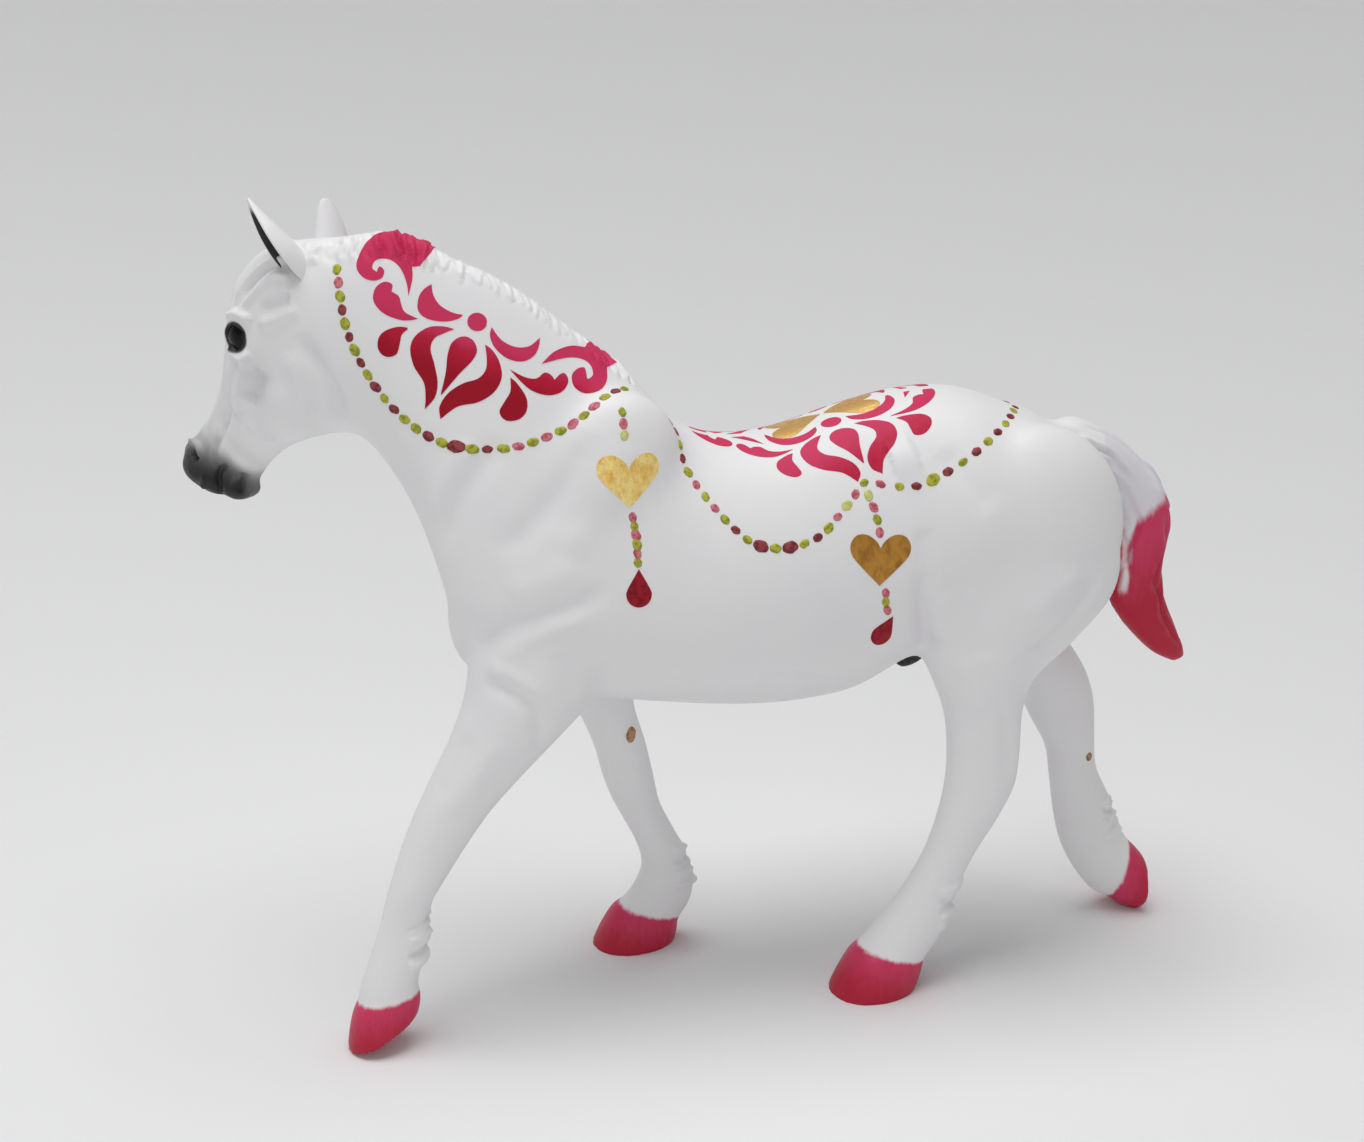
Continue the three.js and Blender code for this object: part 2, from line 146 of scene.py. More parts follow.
RIGHT_FORELEG = [
    (-30, 99, -9, 98, 8.4, 7), (-32.6, 88, -8, 87, 10.4, 8), (-34, 77, -7, 76, 12, 8.5),
    (-30, 67, -6.5, 66, 13, 8.4), (-25, 60, -8, 60, 14, 7.2), (-20.5, 53.3, -8.8, 54.5, 14.6, 6),
    (-17.2, 45.4, -6.3, 45.6, 15, 5.2), (-15.4, 38.5, -4.6, 38, 15, 5.2), (-13.6, 33.5, -3.4, 32, 15, 4.7),
    (-11, 28.2, -0.8, 26.4, 15, 4.0), (-8.4, 22.8, 2.2, 20.4, 15, 4.2), (-7.2, 17.6, 3.9, 14.6, 15, 4.8),
    (-9, 12.8, 3.4, 9.4, 15, 4.9), (-12, 9, 1.4, 6, 15, 5.2), (-13, 6, -0.6, 3.6, 15, 4.8),
]
LEFT_HINDLEG = [
    (44, 102, 77, 104, -11, 8.6), (41, 90, 83.6, 92, -12.4, 9.8), (41, 79, 83, 81.6, -13.4, 9.6),
    (43.2, 71, 75, 72.4, -14, 8.6), (46, 64.5, 67, 65.4, -14.6, 7.3), (48.3, 58, 64.2, 58, -15, 6.3),
    (49, 50.6, 64, 49.4, -15.4, 5.4), (48.8, 43.5, 63.3, 42.5, -15.4, 5.2),
    (47.2, 35.5, 60.2, 36, -15.4, 4.8), (44.5, 28, 56, 29, -15.4, 4.1), (40.5, 21, 52.6, 21.8, -15.4, 4.2),
    (36.8, 16, 51.2, 16, -15.4, 4.8), (33.6, 12, 49, 11, -15.4, 5.2), (31.2, 9, 46.4, 7.4, -15.4, 5.6),
    (30.6, 6, 44, 4.6, -15.4, 5.2),
]
RIGHT_HINDLEG = [
    (49, 102, 77, 104, 11, 8.6), (48, 90, 83.6, 92, 12.4, 9.8), (52, 78, 84.6, 83, 13.2, 9.4),
    (60, 68, 84.6, 73, 13.6, 8.2), (67.4, 59, 84.8, 64.5, 13.4, 6.8), (74.4, 52, 89.8, 56, 13, 5.8),
    (78.4, 44.6, 92.2, 48.9, 12.6, 5.2), (81.8, 38.2, 92.6, 41.4, 12, 4.8), (82.8, 31, 93.2, 33.6, 11.2, 4.1),
    (83.9, 23, 96.2, 27, 10.6, 4.2), (85.8, 16, 98.6, 20.6, 10.2, 4.8), (89.2, 9.6, 100.0, 17.6, 10, 5.2),
    (93.4, 4.4, 101.0, 16.2, 9.8, 5.6), (97.2, 2.6, 102.2, 14.4, 9.8, 5.2),
]
# hooves: coronet, middle and sole; the widest place of the sole lies in its front half
HOOVES = {
    "left_foreleg": [(-66.4, 10, -60, 11.6, -17.5, 3.6, 0.1), (-69.2, 8.6, -57.0, 11.6, -17.6, 5.2, 0.12),
                     (-70.6, 3.6, -56.8, 8.6, -17.6, 6.1, 0.14), (-71, -0.4, -57.4, 6.2, -17.6, 6.6, 0.15)],
    "right_foreleg": [(-8, 9, -1, 7, 15, 3.8, 0.1), (-12.8, 8.6, 0.4, 5.0, 15, 5.9, 0.12),
                      (-16, 4.2, 0.4, 2.4, 15, 6.9, 0.14), (-18.2, -0.6, -0.4, -0.6, 15, 7.4, 0.15)],
    "left_hindleg": [(34, 9.4, 43, 7.6, -15.4, 4, 0.1), (30.8, 9.0, 45.2, 5.6, -15.4, 6.4, 0.12),
                     (27.8, 4.2, 44.8, 2.8, -15.4, 7.4, 0.14), (25.6, -0.6, 43.6, -0.6, -15.4, 7.9, 0.15)],
    "right_hindleg": [(96, 5.6, 99.6, 14, 9.8, 3.8, 0.1), (97.2, 2.4, 101.6, 15.2, 9.8, 5.6, 0.12),
                      (101.4, -0.2, 103.8, 13.2, 9.8, 6.2, 0.14), (104.2, -0.6, 105.2, 11.4, 9.8, 6.4, 0.15)],
}
TAIL = [
    (72, 112.4, 72, 108, 0, 2.6), (76, 113.3, 75.4, 107, 0, 3.4), (80, 113, 79, 105.5, 0, 3.9),
    (87, 110, 82.6, 101, 0, 4.6), (94, 104.5, 86, 95.5, 0, 5.1), (99, 98, 88, 89.5, 0, 5.6),
    (100.4, 89.4, 87.5, 84, 0, 5.8), (99.7, 81.6, 87.3, 78.5, 0, 5.6), (101, 74.5, 89.5, 73, 0, 5.0),
    (103.4, 69, 94, 67.5, 0, 4.0), (105.8, 64, 99, 62.8, 0, 2.8), (106.6, 61.3, 104, 60.2, 0, 1.2),
]
# rounded masses: middle x, z, y, radius along, radius up, radius across, tilt in degrees
MASSES = [
    (66, 94, 11.0, 19, 21, 11.2, 0),         # haunch
    (54, 82, 12.2, 13, 15, 9.8, 20),         # thigh
    (-30, 82, 9.0, 14, 15, 9.0, -30),        # point of the shoulder
    (-15, 79, 11.0, 14, 14, 8.6, 10),        # upper arm
    (-20, 103, 8.5, 15, 22, 8.6, 25),        # shoulder blade
    (-41.4, 80, 5.0, 6.0, 10, 5.8, 0),       # breast
    (-76, 121.8, 3.2, 8.6, 8.8, 5.8, 0),     # cheek
    (-84.2, 133.2, 4.6, 4.6, 3.6, 4.0, 0),   # eye socket
    (-98.6, 107.8, 2.2, 4.0, 3.2, 2.8, 30),  # nostril
    (-96.6, 102.6, 1.4, 3.8, 2.4, 3.0, 20),  # upper lip
    (-91.2, 101.6, 1.0, 3.4, 2.4, 3.0, 0),   # chin
]


def spline(rows, count):
    """Smooth curve through rows, sampled count times (Catmull-Rom)."""
    rows = np.array(rows, float)
    rows = np.vstack([2 * rows[0] - rows[1], rows, 2 * rows[-1] - rows[-2]])
    t = np.linspace(0, len(rows) - 3, count)
    i = np.minimum(t.astype(int), len(rows) - 4)
    u = (t - i)[:, None]
    p0, p1, p2, p3 = rows[i], rows[i + 1], rows[i + 2], rows[i + 3]
    return 0.5 * (2 * p1 + (p2 - p0) * u + (2 * p0 - 5 * p1 + 4 * p2 - p3) * u ** 2
                  + (3 * p1 - p0 - 3 * p2 + p3) * u ** 3)


def ring_grid(rows, rings, points):
    """Points of the hull through the stations: rings x points x 3."""
    rows = np.array([tuple(r) + (0,) * (8 - len(r)) for r in rows], float)
    r = spline(rows, rings)
    a, b = r[:, 0:2], r[:, 2:4]
    angle = np.linspace(0, 2 * np.pi, points, endpoint=False)
    across = np.cos(angle)[None, :]
    along = np.sin(angle)[None, :] + r[:, 6:7] * across ** 2
    middle, half = (a + b) / 2, (a - b) / 2
    x = middle[:, 0:1] + half[:, 0:1] * along
    z = middle[:, 1:2] + half[:, 1:2] * along
    y = r[:, 4:5] + r[:, 5:6] * across * (1 - r[:, 7:8] * along)
    return np.stack([x, y, z], axis=2)


def get_points(obj):
    co = np.empty(len(obj.data.vertices) * 3)
    obj.data.vertices.foreach_get("co", co)
    return co.reshape(-1, 3) / MM


def set_points(obj, points):
    obj.data.vertices.foreach_set("co", (points * MM).ravel())
    obj.data.update()


def deselect():
    if bpy.context.mode != "OBJECT":
        bpy.ops.object.mode_set(mode="OBJECT")
    bpy.ops.object.select_all(action="DESELECT")


def activate(obj):
    deselect()
    obj.select_set(True)
    bpy.context.view_layer.objects.active = obj


def edit_all():
    bpy.ops.object.mode_set(mode="EDIT")
    bpy.ops.mesh.select_all(action="SELECT")


def face_outwards():
    edit_all()
    bpy.ops.mesh.normals_make_consistent(inside=False)
    bpy.ops.object.mode_set(mode="OBJECT")


def join(objects):
    deselect()
    for obj in objects:
        obj.select_set(True)
    bpy.context.view_layer.objects.active = objects[0]
    if len(objects) > 1:
        bpy.ops.object.join()
    return bpy.context.object


def hull(rows, rings, points):
    """A closed tube through the stations: a grid rolled up ring by ring, its two ends filled."""
    deselect()
    bpy.ops.mesh.primitive_grid_add(x_subdivisions=points, y_subdivisions=rings - 1)
    obj = bpy.context.object
    grid = ring_grid(rows, rings, points)
    wrapped = np.concatenate([grid, grid[:, :1]], axis=1)
    set_points(obj, wrapped.reshape(-1, 3))
    edit_all()
    bpy.ops.mesh.remove_doubles(threshold=1e-6)
    bpy.ops.mesh.select_all(action="DESELECT")
    bpy.ops.mesh.select_non_manifold()
    bpy.ops.mesh.edge_face_add()
    bpy.ops.mesh.select_all(action="SELECT")
    bpy.ops.mesh.normals_make_consistent(inside=False)
    bpy.ops.object.mode_set(mode="OBJECT")
    return obj


def mass(x, z, y, along, up, across, tilt):
    """A rounded lump of muscle or bone, squashed from a sphere."""
    deselect()
    bpy.ops.mesh.primitive_uv_sphere_add(segments=32, ring_count=20, radius=1)
    obj = bpy.context.object
    p = get_points(obj) * MM
    t = math.radians(tilt)
    px, pz = p[:, 0] * along, p[:, 2] * up
    set_points(obj, np.stack([x + px * math.cos(t) + pz * math.sin(t), y + p[:, 1] * across,
                              z - px * math.sin(t) + pz * math.cos(t)], axis=1))
    return obj


LEG_ROWS = {"left_foreleg": LEFT_FORELEG, "right_foreleg": RIGHT_FORELEG,
            "left_hindleg": LEFT_HINDLEG, "right_hindleg": RIGHT_HINDLEG}
blocks = [hull(TRUNK, 110, 64), hull(TAIL, 50, 32)]
for name, rows in LEG_ROWS.items():
    blocks.append(hull(rows, 70, 32))
    blocks.append(hull(HOOVES[name], 14, 32))
for row in MASSES:
    for side in (-1, 1):
        blocks.append(mass(row[0], row[1], side * row[2], *row[3:]))
skin = join(blocks)
skin.name = "horse_skin"
print("blocked out with", len(blocks), "volumes,", len(skin.data.polygons), "faces")

# %% [markdown]
# # One skin
# The volumes are melted into one surface by remeshing them with small cubes. The creases between
# them are then filled the way a modeller smooths clay with a finger: a point lying in a hollow
# moves outwards, a point on a ridge stays, so the outline is kept.

# %% Remesh into one skin
activate(skin)
remesh = skin.modifiers.new("melt", "REMESH")
remesh.mode = "VOXEL"
remesh.voxel_size = VOXEL * MM
bpy.ops.object.modifier_apply(modifier="melt")
print("one skin of", len(skin.data.vertices), "points")


class Clay:
    """The skin's points with what is needed to push and smooth them."""

    def __init__(self, obj):
        self.obj = obj
        self.p = get_points(obj)
        edges = np.empty(len(obj.data.edges) * 2, int)
        obj.data.edges.foreach_get("vertices", edges)
        edges = edges.reshape(-1, 2)
        self.a = np.concatenate([edges[:, 0], edges[:, 1]])
        self.b = np.concatenate([edges[:, 1], edges[:, 0]])
        self.degree = np.maximum(np.bincount(self.a, minlength=len(self.p)), 1)[:, None]
        self.normals()

    def around(self, values):
        """Mean of the neighbours' values."""
        values = values.reshape(len(self.p), -1)
        total = [np.bincount(self.a, weights=values[self.b, k], minlength=len(self.p))
                 for k in range(values.shape[1])]
        return np.stack(total, axis=1) / self.degree

    def normals(self):
        set_points(self.obj, self.p)
        n = np.empty(len(self.p) * 3)
        self.obj.data.vertices.foreach_get("normal", n)
        self.n = n.reshape(-1, 3)

    def fill(self, times, fall=0.0, where=1.0):
        """Fills hollows; fall is the share by which ridges sink as well."""
        where = np.broadcast_to(np.asarray(where, float), (len(self.p),))
        for k in range(times):
            if k % 8 == 0:
                self.normals()
            move = self.around(self.p) - self.p
            along = np.einsum("ij,ij->i", move, self.n)
            keep = np.where(along > 0, 1.0, fall)
            slide = move - along[:, None] * self.n
            self.p = self.p + where[:, None] * (0.6 * (keep * along)[:, None] * self.n + 0.3 * slide)
        self.normals()

    def relax(self, times, where=1.0):
        """Plain smoothing that keeps the volume: one step in, one step out."""
        where = np.broadcast_to(np.asarray(where, float), (len(self.p),))[:, None]
        for _ in range(times):
            self.p = self.p + 0.5 * where * (self.around(self.p) - self.p)
            self.p = self.p - 0.52 * where * (self.around(self.p) - self.p)
        self.normals()

    def push(self, amount):
        self.p = self.p + amount[:, None] * self.n
        self.normals()


clay = Clay(skin)
grain = (FINE_GRAIN / VOXEL) ** 2
clay.fill(int(90 * grain), fall=0.06)
clay.relax(6)
print("creases filled")

# %% [markdown]
# # Finer clay where the detail sits
# Face, mane and feet carry wrinkles and hair finer than the rest of the body needs. Their faces
# are split in four, and a few smoothing passes make the new points lie on the round surface.

# %% Split the faces of head and feet
HEAD_FINE, FOOT_FINE = -66.0, 27.0
crest = spline(TRUNK[9:20], 120)[:, 0:2]


def above_mane(p, deep=4.5):
    """Points within a hair's length of the crest of the neck."""
    line = np.interp(p[:, 0], crest[::-1, 0], crest[::-1, 1])
    return (p[:, 0] > -68) & (p[:, 0] < -11) & (p[:, 2] > line - deep) & (np.abs(p[:, 1]) < 4.5)


activate(skin)
bpy.ops.object.mode_set(mode="EDIT")
bpy.ops.mesh.select_all(action="DESELECT")
bpy.ops.mesh.select_mode(type="FACE")
bpy.ops.object.mode_set(mode="OBJECT")
centres = np.empty(len(skin.data.polygons) * 3)
skin.data.polygons.foreach_get("center", centres)
centres = centres.reshape(-1, 3) / MM
fine = (centres[:, 0] < HEAD_FINE) & (centres[:, 2] > 90) | (centres[:, 2] < FOOT_FINE) | above_mane(centres)
skin.data.polygons.foreach_set("select", fine & (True))
bpy.ops.object.mode_set(mode="EDIT")
bpy.ops.mesh.subdivide(number_cuts=1)
bpy.ops.object.mode_set(mode="OBJECT")
clay = Clay(skin)
clay.relax(3, where=(clay.p[:, 0] < HEAD_FINE) | (clay.p[:, 2] < FOOT_FINE) | above_mane(clay.p))
print("skin now has", len(clay.p), "points")

# %% [markdown]
# # Sculpting strokes
# A stroke is a line drawn on the side of the body with a depth and a width, as a modelling tool
# leaves it: below zero presses a groove, above zero raises a ridge. Its points give length,
# depth side and height (x, y, z); the line is laid on the nearest skin. Each stroke is made on
# the left and repeated on the right.

# %% The modelling tool
CURVE_STEP = 0.35


def smooth_line(points, closed=False):
    """Even points along a smooth curve through a few given ones."""
    p = np.array(points, float)
    if closed:
        p = np.concatenate([p[-1:], p, p[:2]])
    else:
        p = np.concatenate([[2 * p[0] - p[1]], p, [2 * p[-1] - p[-2]]])
    out = []
    for p0, p1, p2, p3 in zip(p[:-3], p[1:-2], p[2:-1], p[3:]):
        count = max(2, int(np.linalg.norm(p2 - p1) / CURVE_STEP))
        u = np.linspace(0, 1, count, endpoint=False)[:, None]
        out.append(0.5 * (2 * p1 + (p2 - p0) * u + (2 * p0 - 5 * p1 + 4 * p2 - p3) * u ** 2
                          + (3 * p1 - p0 - 3 * p2 + p3) * u ** 3))
    if not closed:
        out.append(p[-2:-1])
    return np.concatenate(out)


def skin_tree():
    faces = [tuple(f.vertices) for f in skin.data.polygons]
    return BVHTree.FromPolygons(clay.p.tolist(), faces)


def lay(points, tree, lift=0.0):
    """Nearest points of the skin and the directions away from it."""
    places, ways = [], []
    for point in points:
        place, way, _, _ = tree.find_nearest(Vector(point))
        places.append(place + way * lift)
        ways.append(way)
    return np.array(places), np.array(ways)


def carve(strokes, ease=True, sides=(1, -1)):
    """Moves the skin along its normals by the sum of the strokes."""
    tree = skin_tree()
    amount = np.zeros(len(clay.p))
    for depth, width, *points in strokes:
        line, _ = lay(smooth_line(points), tree)
        along = np.linspace(0, 1, len(line))
        strength = np.clip(np.sin(np.pi * along) * 1.8, 0, 1) if ease else np.ones(len(line))
        for side in sides:
            mirrored = line * (1, side, 1)
            low, high = mirrored.min(0) - 2.5 * width, mirrored.max(0) + 2.5 * width
            near = np.flatnonzero(((clay.p > low) & (clay.p < high)).all(1))
            if len(near) == 0:
                continue
            gap = ((clay.p[near, None, :] - mirrored[None]) ** 2).sum(2)
            best = gap.argmin(1)
            fall = np.exp(-gap[np.arange(len(near)), best] / width ** 2)
            amount[near] += depth * strength[best] * fall
    clay.push(amount)


# %% Muscles and folds of neck, shoulder and quarters
MUSCLES = [   # depth, width, then points on the left side: along, aside, height
    # groove behind the jaw
    (-0.5, 2.2, (-62, -8, 128), (-59, -8, 122), (-54, -9, 114), (-47, -12, 97)),
    (-0.65, 2.2, (-36, -12, 117), (-42, -14, 108), (-45, -14, 101), (-46, -13, 96)),    # side of the neck
    (0.5, 2.6, (-41, -13, 117), (-45, -13, 109), (-48, -12, 101)),
    # front of the shoulder blade
    (-0.7, 2.6, (-22, -14, 118), (-26, -16, 109), (-33, -17, 100), (-38, -17, 96)),
    (0.5, 3.0, (-15, -15, 116), (-22, -17, 101), (-28, -18, 96)),
    # point of the shoulder
    (-0.8, 1.9, (-19, -20, 90), (-27, -20, 86), (-37, -18, 83), (-42, -15, 77)),
    (0.6, 2.2, (-22, -20, 85), (-34, -20, 80), (-39, -18, 76)),
    (0.5, 3.0, (-24, -19, 94), (-36, -18, 88)),
    # fold above the forearm
    (-0.9, 1.6, (-43, -17, 72), (-38, -20, 71), (-34, -21, 67), (-33, -20, 59)),
    (0.5, 1.8, (-42, -18, 75), (-38, -20, 74), (-32, -21, 69)),
    (-0.45, 2.2, (-27, -20, 68), (-28, -20, 78)),                                       # elbow
    (-0.5, 1.8, (-46, -19, 63), (-53, -20, 50)),
    (0.35, 2.0, (-40, -20, 62), (-49, -20, 48)),
    (-0.5, 2.0, (40, -21, 98), (41, -22, 86)),                                          # flank
    (-1.1, 1.8, (40, -21, 89), (41, -20, 81), (44, -16, 71)),
    (0.6, 2.6, (45, -20, 86), (47, -18, 74)),
    (0.9, 4.2, (35, -16, 110), (41, -15, 111)),                                         # point of the hip
    (-0.5, 3.0, (45, -16, 112), (54, -20, 100)),
    (-0.8, 2.0, (77, -20, 87), (70, -22, 78), (61, -22, 71)),                           # back of the thigh
    (0.5, 2.6, (72, -21, 88), (61, -22, 79)),
    (-0.4, 2.6, (51, -22, 84), (54, -22, 71)),                                          # stifle and gaskin
    (0.4, 2.2, (50, -20, 72), (53, -20, 59)),
    (-0.45, 1.6, (58, -20, 62), (60, -20, 46)),
    (0.35, 1.4, (63, -19, 58), (61, -18, 44)),
    (-0.3, 1.5, (8, -22, 70), (25, -22, 65)),                                           # belly
]
carve(MUSCLES)
print(len(MUSCLES), "strokes for the muscles")

# %% Face: crest, cheek, brow, eye socket, nostril, lips
FACE = [
    (0.6, 1.1, (-80.6, -8.6, 130.4), (-82.8, -8.5, 127), (-84.6, -8, 123), (-85.8, -7.4, 119.5),
     (-85.6, -7.2, 117.6)),
    (-0.6, 2.6, (-79.4, -9, 127.5), (-80.6, -8.8, 124), (-82, -8.2, 120.5)),
    (0.4, 1.0, (-86, -7.2, 118.3), (-83.5, -7, 116.7), (-81.7, -6, 114.3), (-79, -5, 112.6)),
    (-0.9, 1.5, (-70.4, -8.5, 134.5), (-68.3, -8.5, 131.5), (-66.7, -8.4, 128.6), (-64.9, -8, 125.1),
     (-64.3, -7.2, 121.9), (-65.2, -5.8, 117.6)),
    (0.4, 2.0, (-72.5, -9, 131), (-71, -9, 127), (-70, -8.5, 122), (-70.5, -7.5, 118)),
    (0.9, 1.0, (-87.2, -6, 135.7), (-85.2, -7.2, 136.9), (-82.6, -8, 136.9), (-80, -8.4, 135.8)),
    (0.4, 1.2, (-79, -8.5, 135.4), (-76, -8.4, 136.2), (-72.7, -8.2, 137.6), (-69.9, -7.9, 138.8)),
    (-0.5, 1.4, (-78.6, -8.3, 138.4), (-75.2, -8, 139.6), (-72, -7.8, 141)),
    (-0.9, 1.5, (-86.6, -7.2, 134.2), (-84.6, -7.8, 133.2), (-82.6, -8.4, 131.8)),
    (0.5, 0.8, (-86.2, -8, 131.2), (-84.4, -8.4, 129.5), (-82.2, -8.8, 129.2), (-80.6, -8.8, 130.6)),
    (0.35, 0.9, (-85.4, -8, 129.4), (-87, -7.4, 126), (-89.2, -6.4, 122), (-92.8, -4.8, 117.4),
     (-96, -3.8, 113.6)),
    (-0.4, 1.4, (-87, -7.6, 122), (-89, -6.8, 118), (-91.5, -5.8, 114.6)),
    (-0.45, 1.2, (-88.5, -6.6, 116.8), (-91.2, -5.8, 113.2), (-94, -5.2, 110.6)),
    (0.5, 1.0, (-86.8, -6.8, 116.6), (-88.6, -6.2, 113.6), (-90.6, -5.8, 110.6), (-92, -5.4, 107.8)),
    (0.6, 0.8, (-100.6, -3.6, 110.4), (-98.6, -4.6, 110.8), (-96.8, -5, 109.4), (-96.4, -5, 107.4)),
    (-1.5, 0.95, (-100.4, -4.4, 108.9), (-98.8, -4.8, 108.4), (-97.8, -4.8, 107)),
    (-0.9, 0.7, (-95.4, -1.5, 101), (-94, -3.5, 102), (-93.5, -4.6, 104.2), (-92.4, -5, 106),
     (-90.2, -5, 107.2)),
    (0.4, 1.0, (-97.4, -3.8, 102), (-95.6, -4.6, 104.4)),
    (0.5, 1.2, (-92.2, -3.6, 101.4), (-90.6, -4.2, 103.6), (-88.8, -4.4, 105.4)),
    (-0.4, 1.0, (-89.6, -3.6, 101.2), (-88, -4.2, 102.6), (-86.6, -4.4, 104.4)),
]
carve([(depth * (2.2 if abs(depth) < 0.65 else 1.4), *line) for depth, *line in FACE])
print(len(FACE), "strokes for the face")

# %% Hair: forelock, mane, tail, feather
random = np.random.default_rng(7)
LOCKS = [
    (1.0, 0.85, (-73.4, -5.2, 148), (-77, -5, 147.6), (-80.6, -5, 145), (-83.4, -5.4, 141.6),
     (-85.4, -6, 138)),
    (0.95, 0.75, (-72.6, -6.6, 144.8), (-76.4, -6.6, 144.4), (-79.4, -7, 141.8), (-81.7, -7.4, 139.4),
     (-83.4, -7.6, 137.6)),
    (0.9, 0.85, (-75.6, -2, 150.4), (-81, -1.6, 148), (-84.6, -2, 144.4), (-86.6, -2.6, 140.8),
     (-88.2, -3, 137.6)),
    (-0.9, 0.6, (-74, -6, 146.6), (-77.8, -5.8, 146.2), (-80.9, -6, 143.4), (-83, -6.4, 140.2)),
    (-0.9, 0.6, (-75, -3.6, 149), (-80.6, -3.2, 147), (-84, -3.6, 143), (-86, -4.2, 139.4)),
    (0.5, 0.7, (-74.5, 0, 151), (-81, 0, 149), (-86, 0, 144.6), (-88.8, 0, 139.6)),
]
for k in range(9):                            # hair between the ears, combed back
    x, y = -60.5 - 1.5 * k + random.uniform(-0.8, 0.8), -0.6 - 0.3 * k + random.uniform(-0.6, 0.6)
    LOCKS.append((random.choice([0.4, -0.3]), random.uniform(0.5, 0.9), (x, y, 153),
                  (x + 1.6, y - 1.8, 151.5), (x + 1.2, y - 3.4, 149.5), (x + 2.4, y - 4.8, 147.5)))
MANE = []
for x in np.arange(-57.5, -12, 0.95):
    z = float(np.interp(x, crest[::-1, 0], crest[::-1, 1]))
    x0 = x + random.uniform(-0.6, 0.6)
    thick = x < -48 or x > -21.5               # the two painted tufts stand thicker
    fringe = (5.4 if thick else 3.4) * random.uniform(0.7, 1.2)
    lean = random.uniform(1.0, 2.4)
    wave = random.uniform(-0.5, 0.5)
    line = [(x0 - 0.4 + lean * t + wave * math.sin(5 * t), -0.1 - 3.6 * t, z + 0.4 - fringe * t)
            for t in (0, 0.3, 0.6, 0.85, 1)]
    high = random.uniform(0.6, 1.3)
    MANE.append(((0.5 if thick else 0.24) * high, 0.55, *line))
    MANE.append(((-0.45 if thick else -0.16) * high, 0.45, *[(p[0] + 0.48, p[1], p[2]) for p in line]))
carve(LOCKS + MANE, ease=True)
TAIL_HAIR = []
tail_line = spline(TAIL, 60)
for k in range(9):
    for angle in np.arange(0, 360, 24):
        start = int(random.uniform(2, 40))
        length = int(random.uniform(9, 17))
        a = math.radians(angle + random.uniform(-8, 8))
        line = []
        for i in np.linspace(start, min(start + length, 58), 4).astype(int):
            r = tail_line[i]
            wave = 0.22 * math.sin(i * 0.45 + k)
            mid, half = (r[0:2] + r[2:4]) / 2, (r[0:2] - r[2:4]) / 2 * math.cos(a + wave)
            line.append((mid[0] + half[0], r[5] * math.sin(a + wave), mid[1] + half[1]))
        if k % 3 == 0:
            TAIL_HAIR.append((random.choice([-0.75, 0.55]), random.uniform(0.5, 0.9), *line))
carve(TAIL_HAIR, sides=(1,))
FEATHER = []
FETLOCKS = {"left_foreleg": (-54.6, 22, -17, 9), "right_foreleg": (3.4, 18, 15, 9),
            "left_hindleg": (51.6, 19, -15.4, 9), "right_hindleg": (98.4, 23, 10, 8)}
for name, (x, z, y, tall) in FETLOCKS.items():
    for k in range(9):
        zz = z + tall * (k / 8 - 0.55) + random.uniform(-0.5, 0.5)
        swing = random.uniform(-1.2, 1.2)
        for side in (-1, 1):
            FEATHER.append((random.choice([-0.6, 0.55]), 0.62, (x + 1.5, y, zz + 0.4),
                            (x - 1.2, y + side * 2.6, zz + swing),
                            (x - 4.6, y + side * 4.6, zz + 0.6 * swing + random.uniform(-1, 1))))
carve(FEATHER, sides=(1,))
print(len(LOCKS) + len(MANE), "strokes for forelock and mane,", len(TAIL_HAIR), "for the tail,",
      len(FEATHER), "for the feather")

# %% [markdown]
# # Paint on the skin
# The airbrush work and the painted shade are stored as values on the skin's points: pink for hooves
# and tail; near black for the dark muzzle and the eye, with a soft grey patch of painted shade in
# the cheek's hollow added to it; and hollow, lilac grey painted shade in the creases and over the top
# of the tail. The shader mixes the colours and roughens the edges, so the values can stay soft.

# %% Values for the airbrush
straight, straight_n = clay.p.copy(), clay.n.copy()
x, y, z = straight.T


pink = np.zeros(len(x))
CORONETS = {   # two points of the line round the top of each hoof, side view (x, z), and the leg's place
    "left_foreleg": ((-70.2, 9.6), (-56.6, 11.4), (-80, -45, -1)),
    "right_foreleg": ((-13.6, 9.6), (1.2, 5.6), (-25, 10, 1)),
    "left_hindleg": ((30.4, 10.2), (45.6, 6.2), (20, 60, -1)),
    "right_hindleg": ((96.0, 2.2), (101.0, 16.4), (88, 112, 1)),
}
toe_depth = np.zeros(len(x))
for name, ((ax, az), (bx, bz), (x0, x1, side)) in CORONETS.items():
    along = np.array([bx - ax, bz - az]) / math.hypot(bx - ax, bz - az)
    below = (x - ax) * along[1] - (z - az) * along[0]
    mine = (x > x0) & (x < x1) & (y * side > 0) & (z < 24)
    pink = np.where(mine, smoothstep(below, -1.3, 1.5), pink)
    toe_depth = np.where(mine, np.clip(below / 9, 0, 1), toe_depth)
TAIL_DIP = 96.0                              # where the tail's red begins, along and up
tail_red = TAIL_DIP + 0.7 * (x - TAIL_DIP) - z
on_tail = (x > 84) & (z > 58) & (np.abs(y) < 9) & ((x > 88) | (z > 99))
on_tail &= (x > 86.2) | (z > 101)
pink = np.where(on_tail & (z < 103), smoothstep(tail_red, -4, 4.5), pink)
streak = np.exp(-((x - 90.0 - 0.03 * (z - 85)) / 1.1) ** 2) * smoothstep(z, 73.5, 79) * (y < 2)
pink = np.where(on_tail, pink * (1 - 0.66 * streak), pink)
toe_depth = np.where(on_tail & (z < 103),
                     np.clip((tail_red - 3) / 22 + 0.5 * smoothstep(89.6 - x, 0, 1), 0, 1), toe_depth)
edge = 109.6 - 0.22 * (x + 93)
soot_and_shade = smoothstep(edge + 8.5 - z, 0, 16) * smoothstep(-80.5 - x, 0, 11)
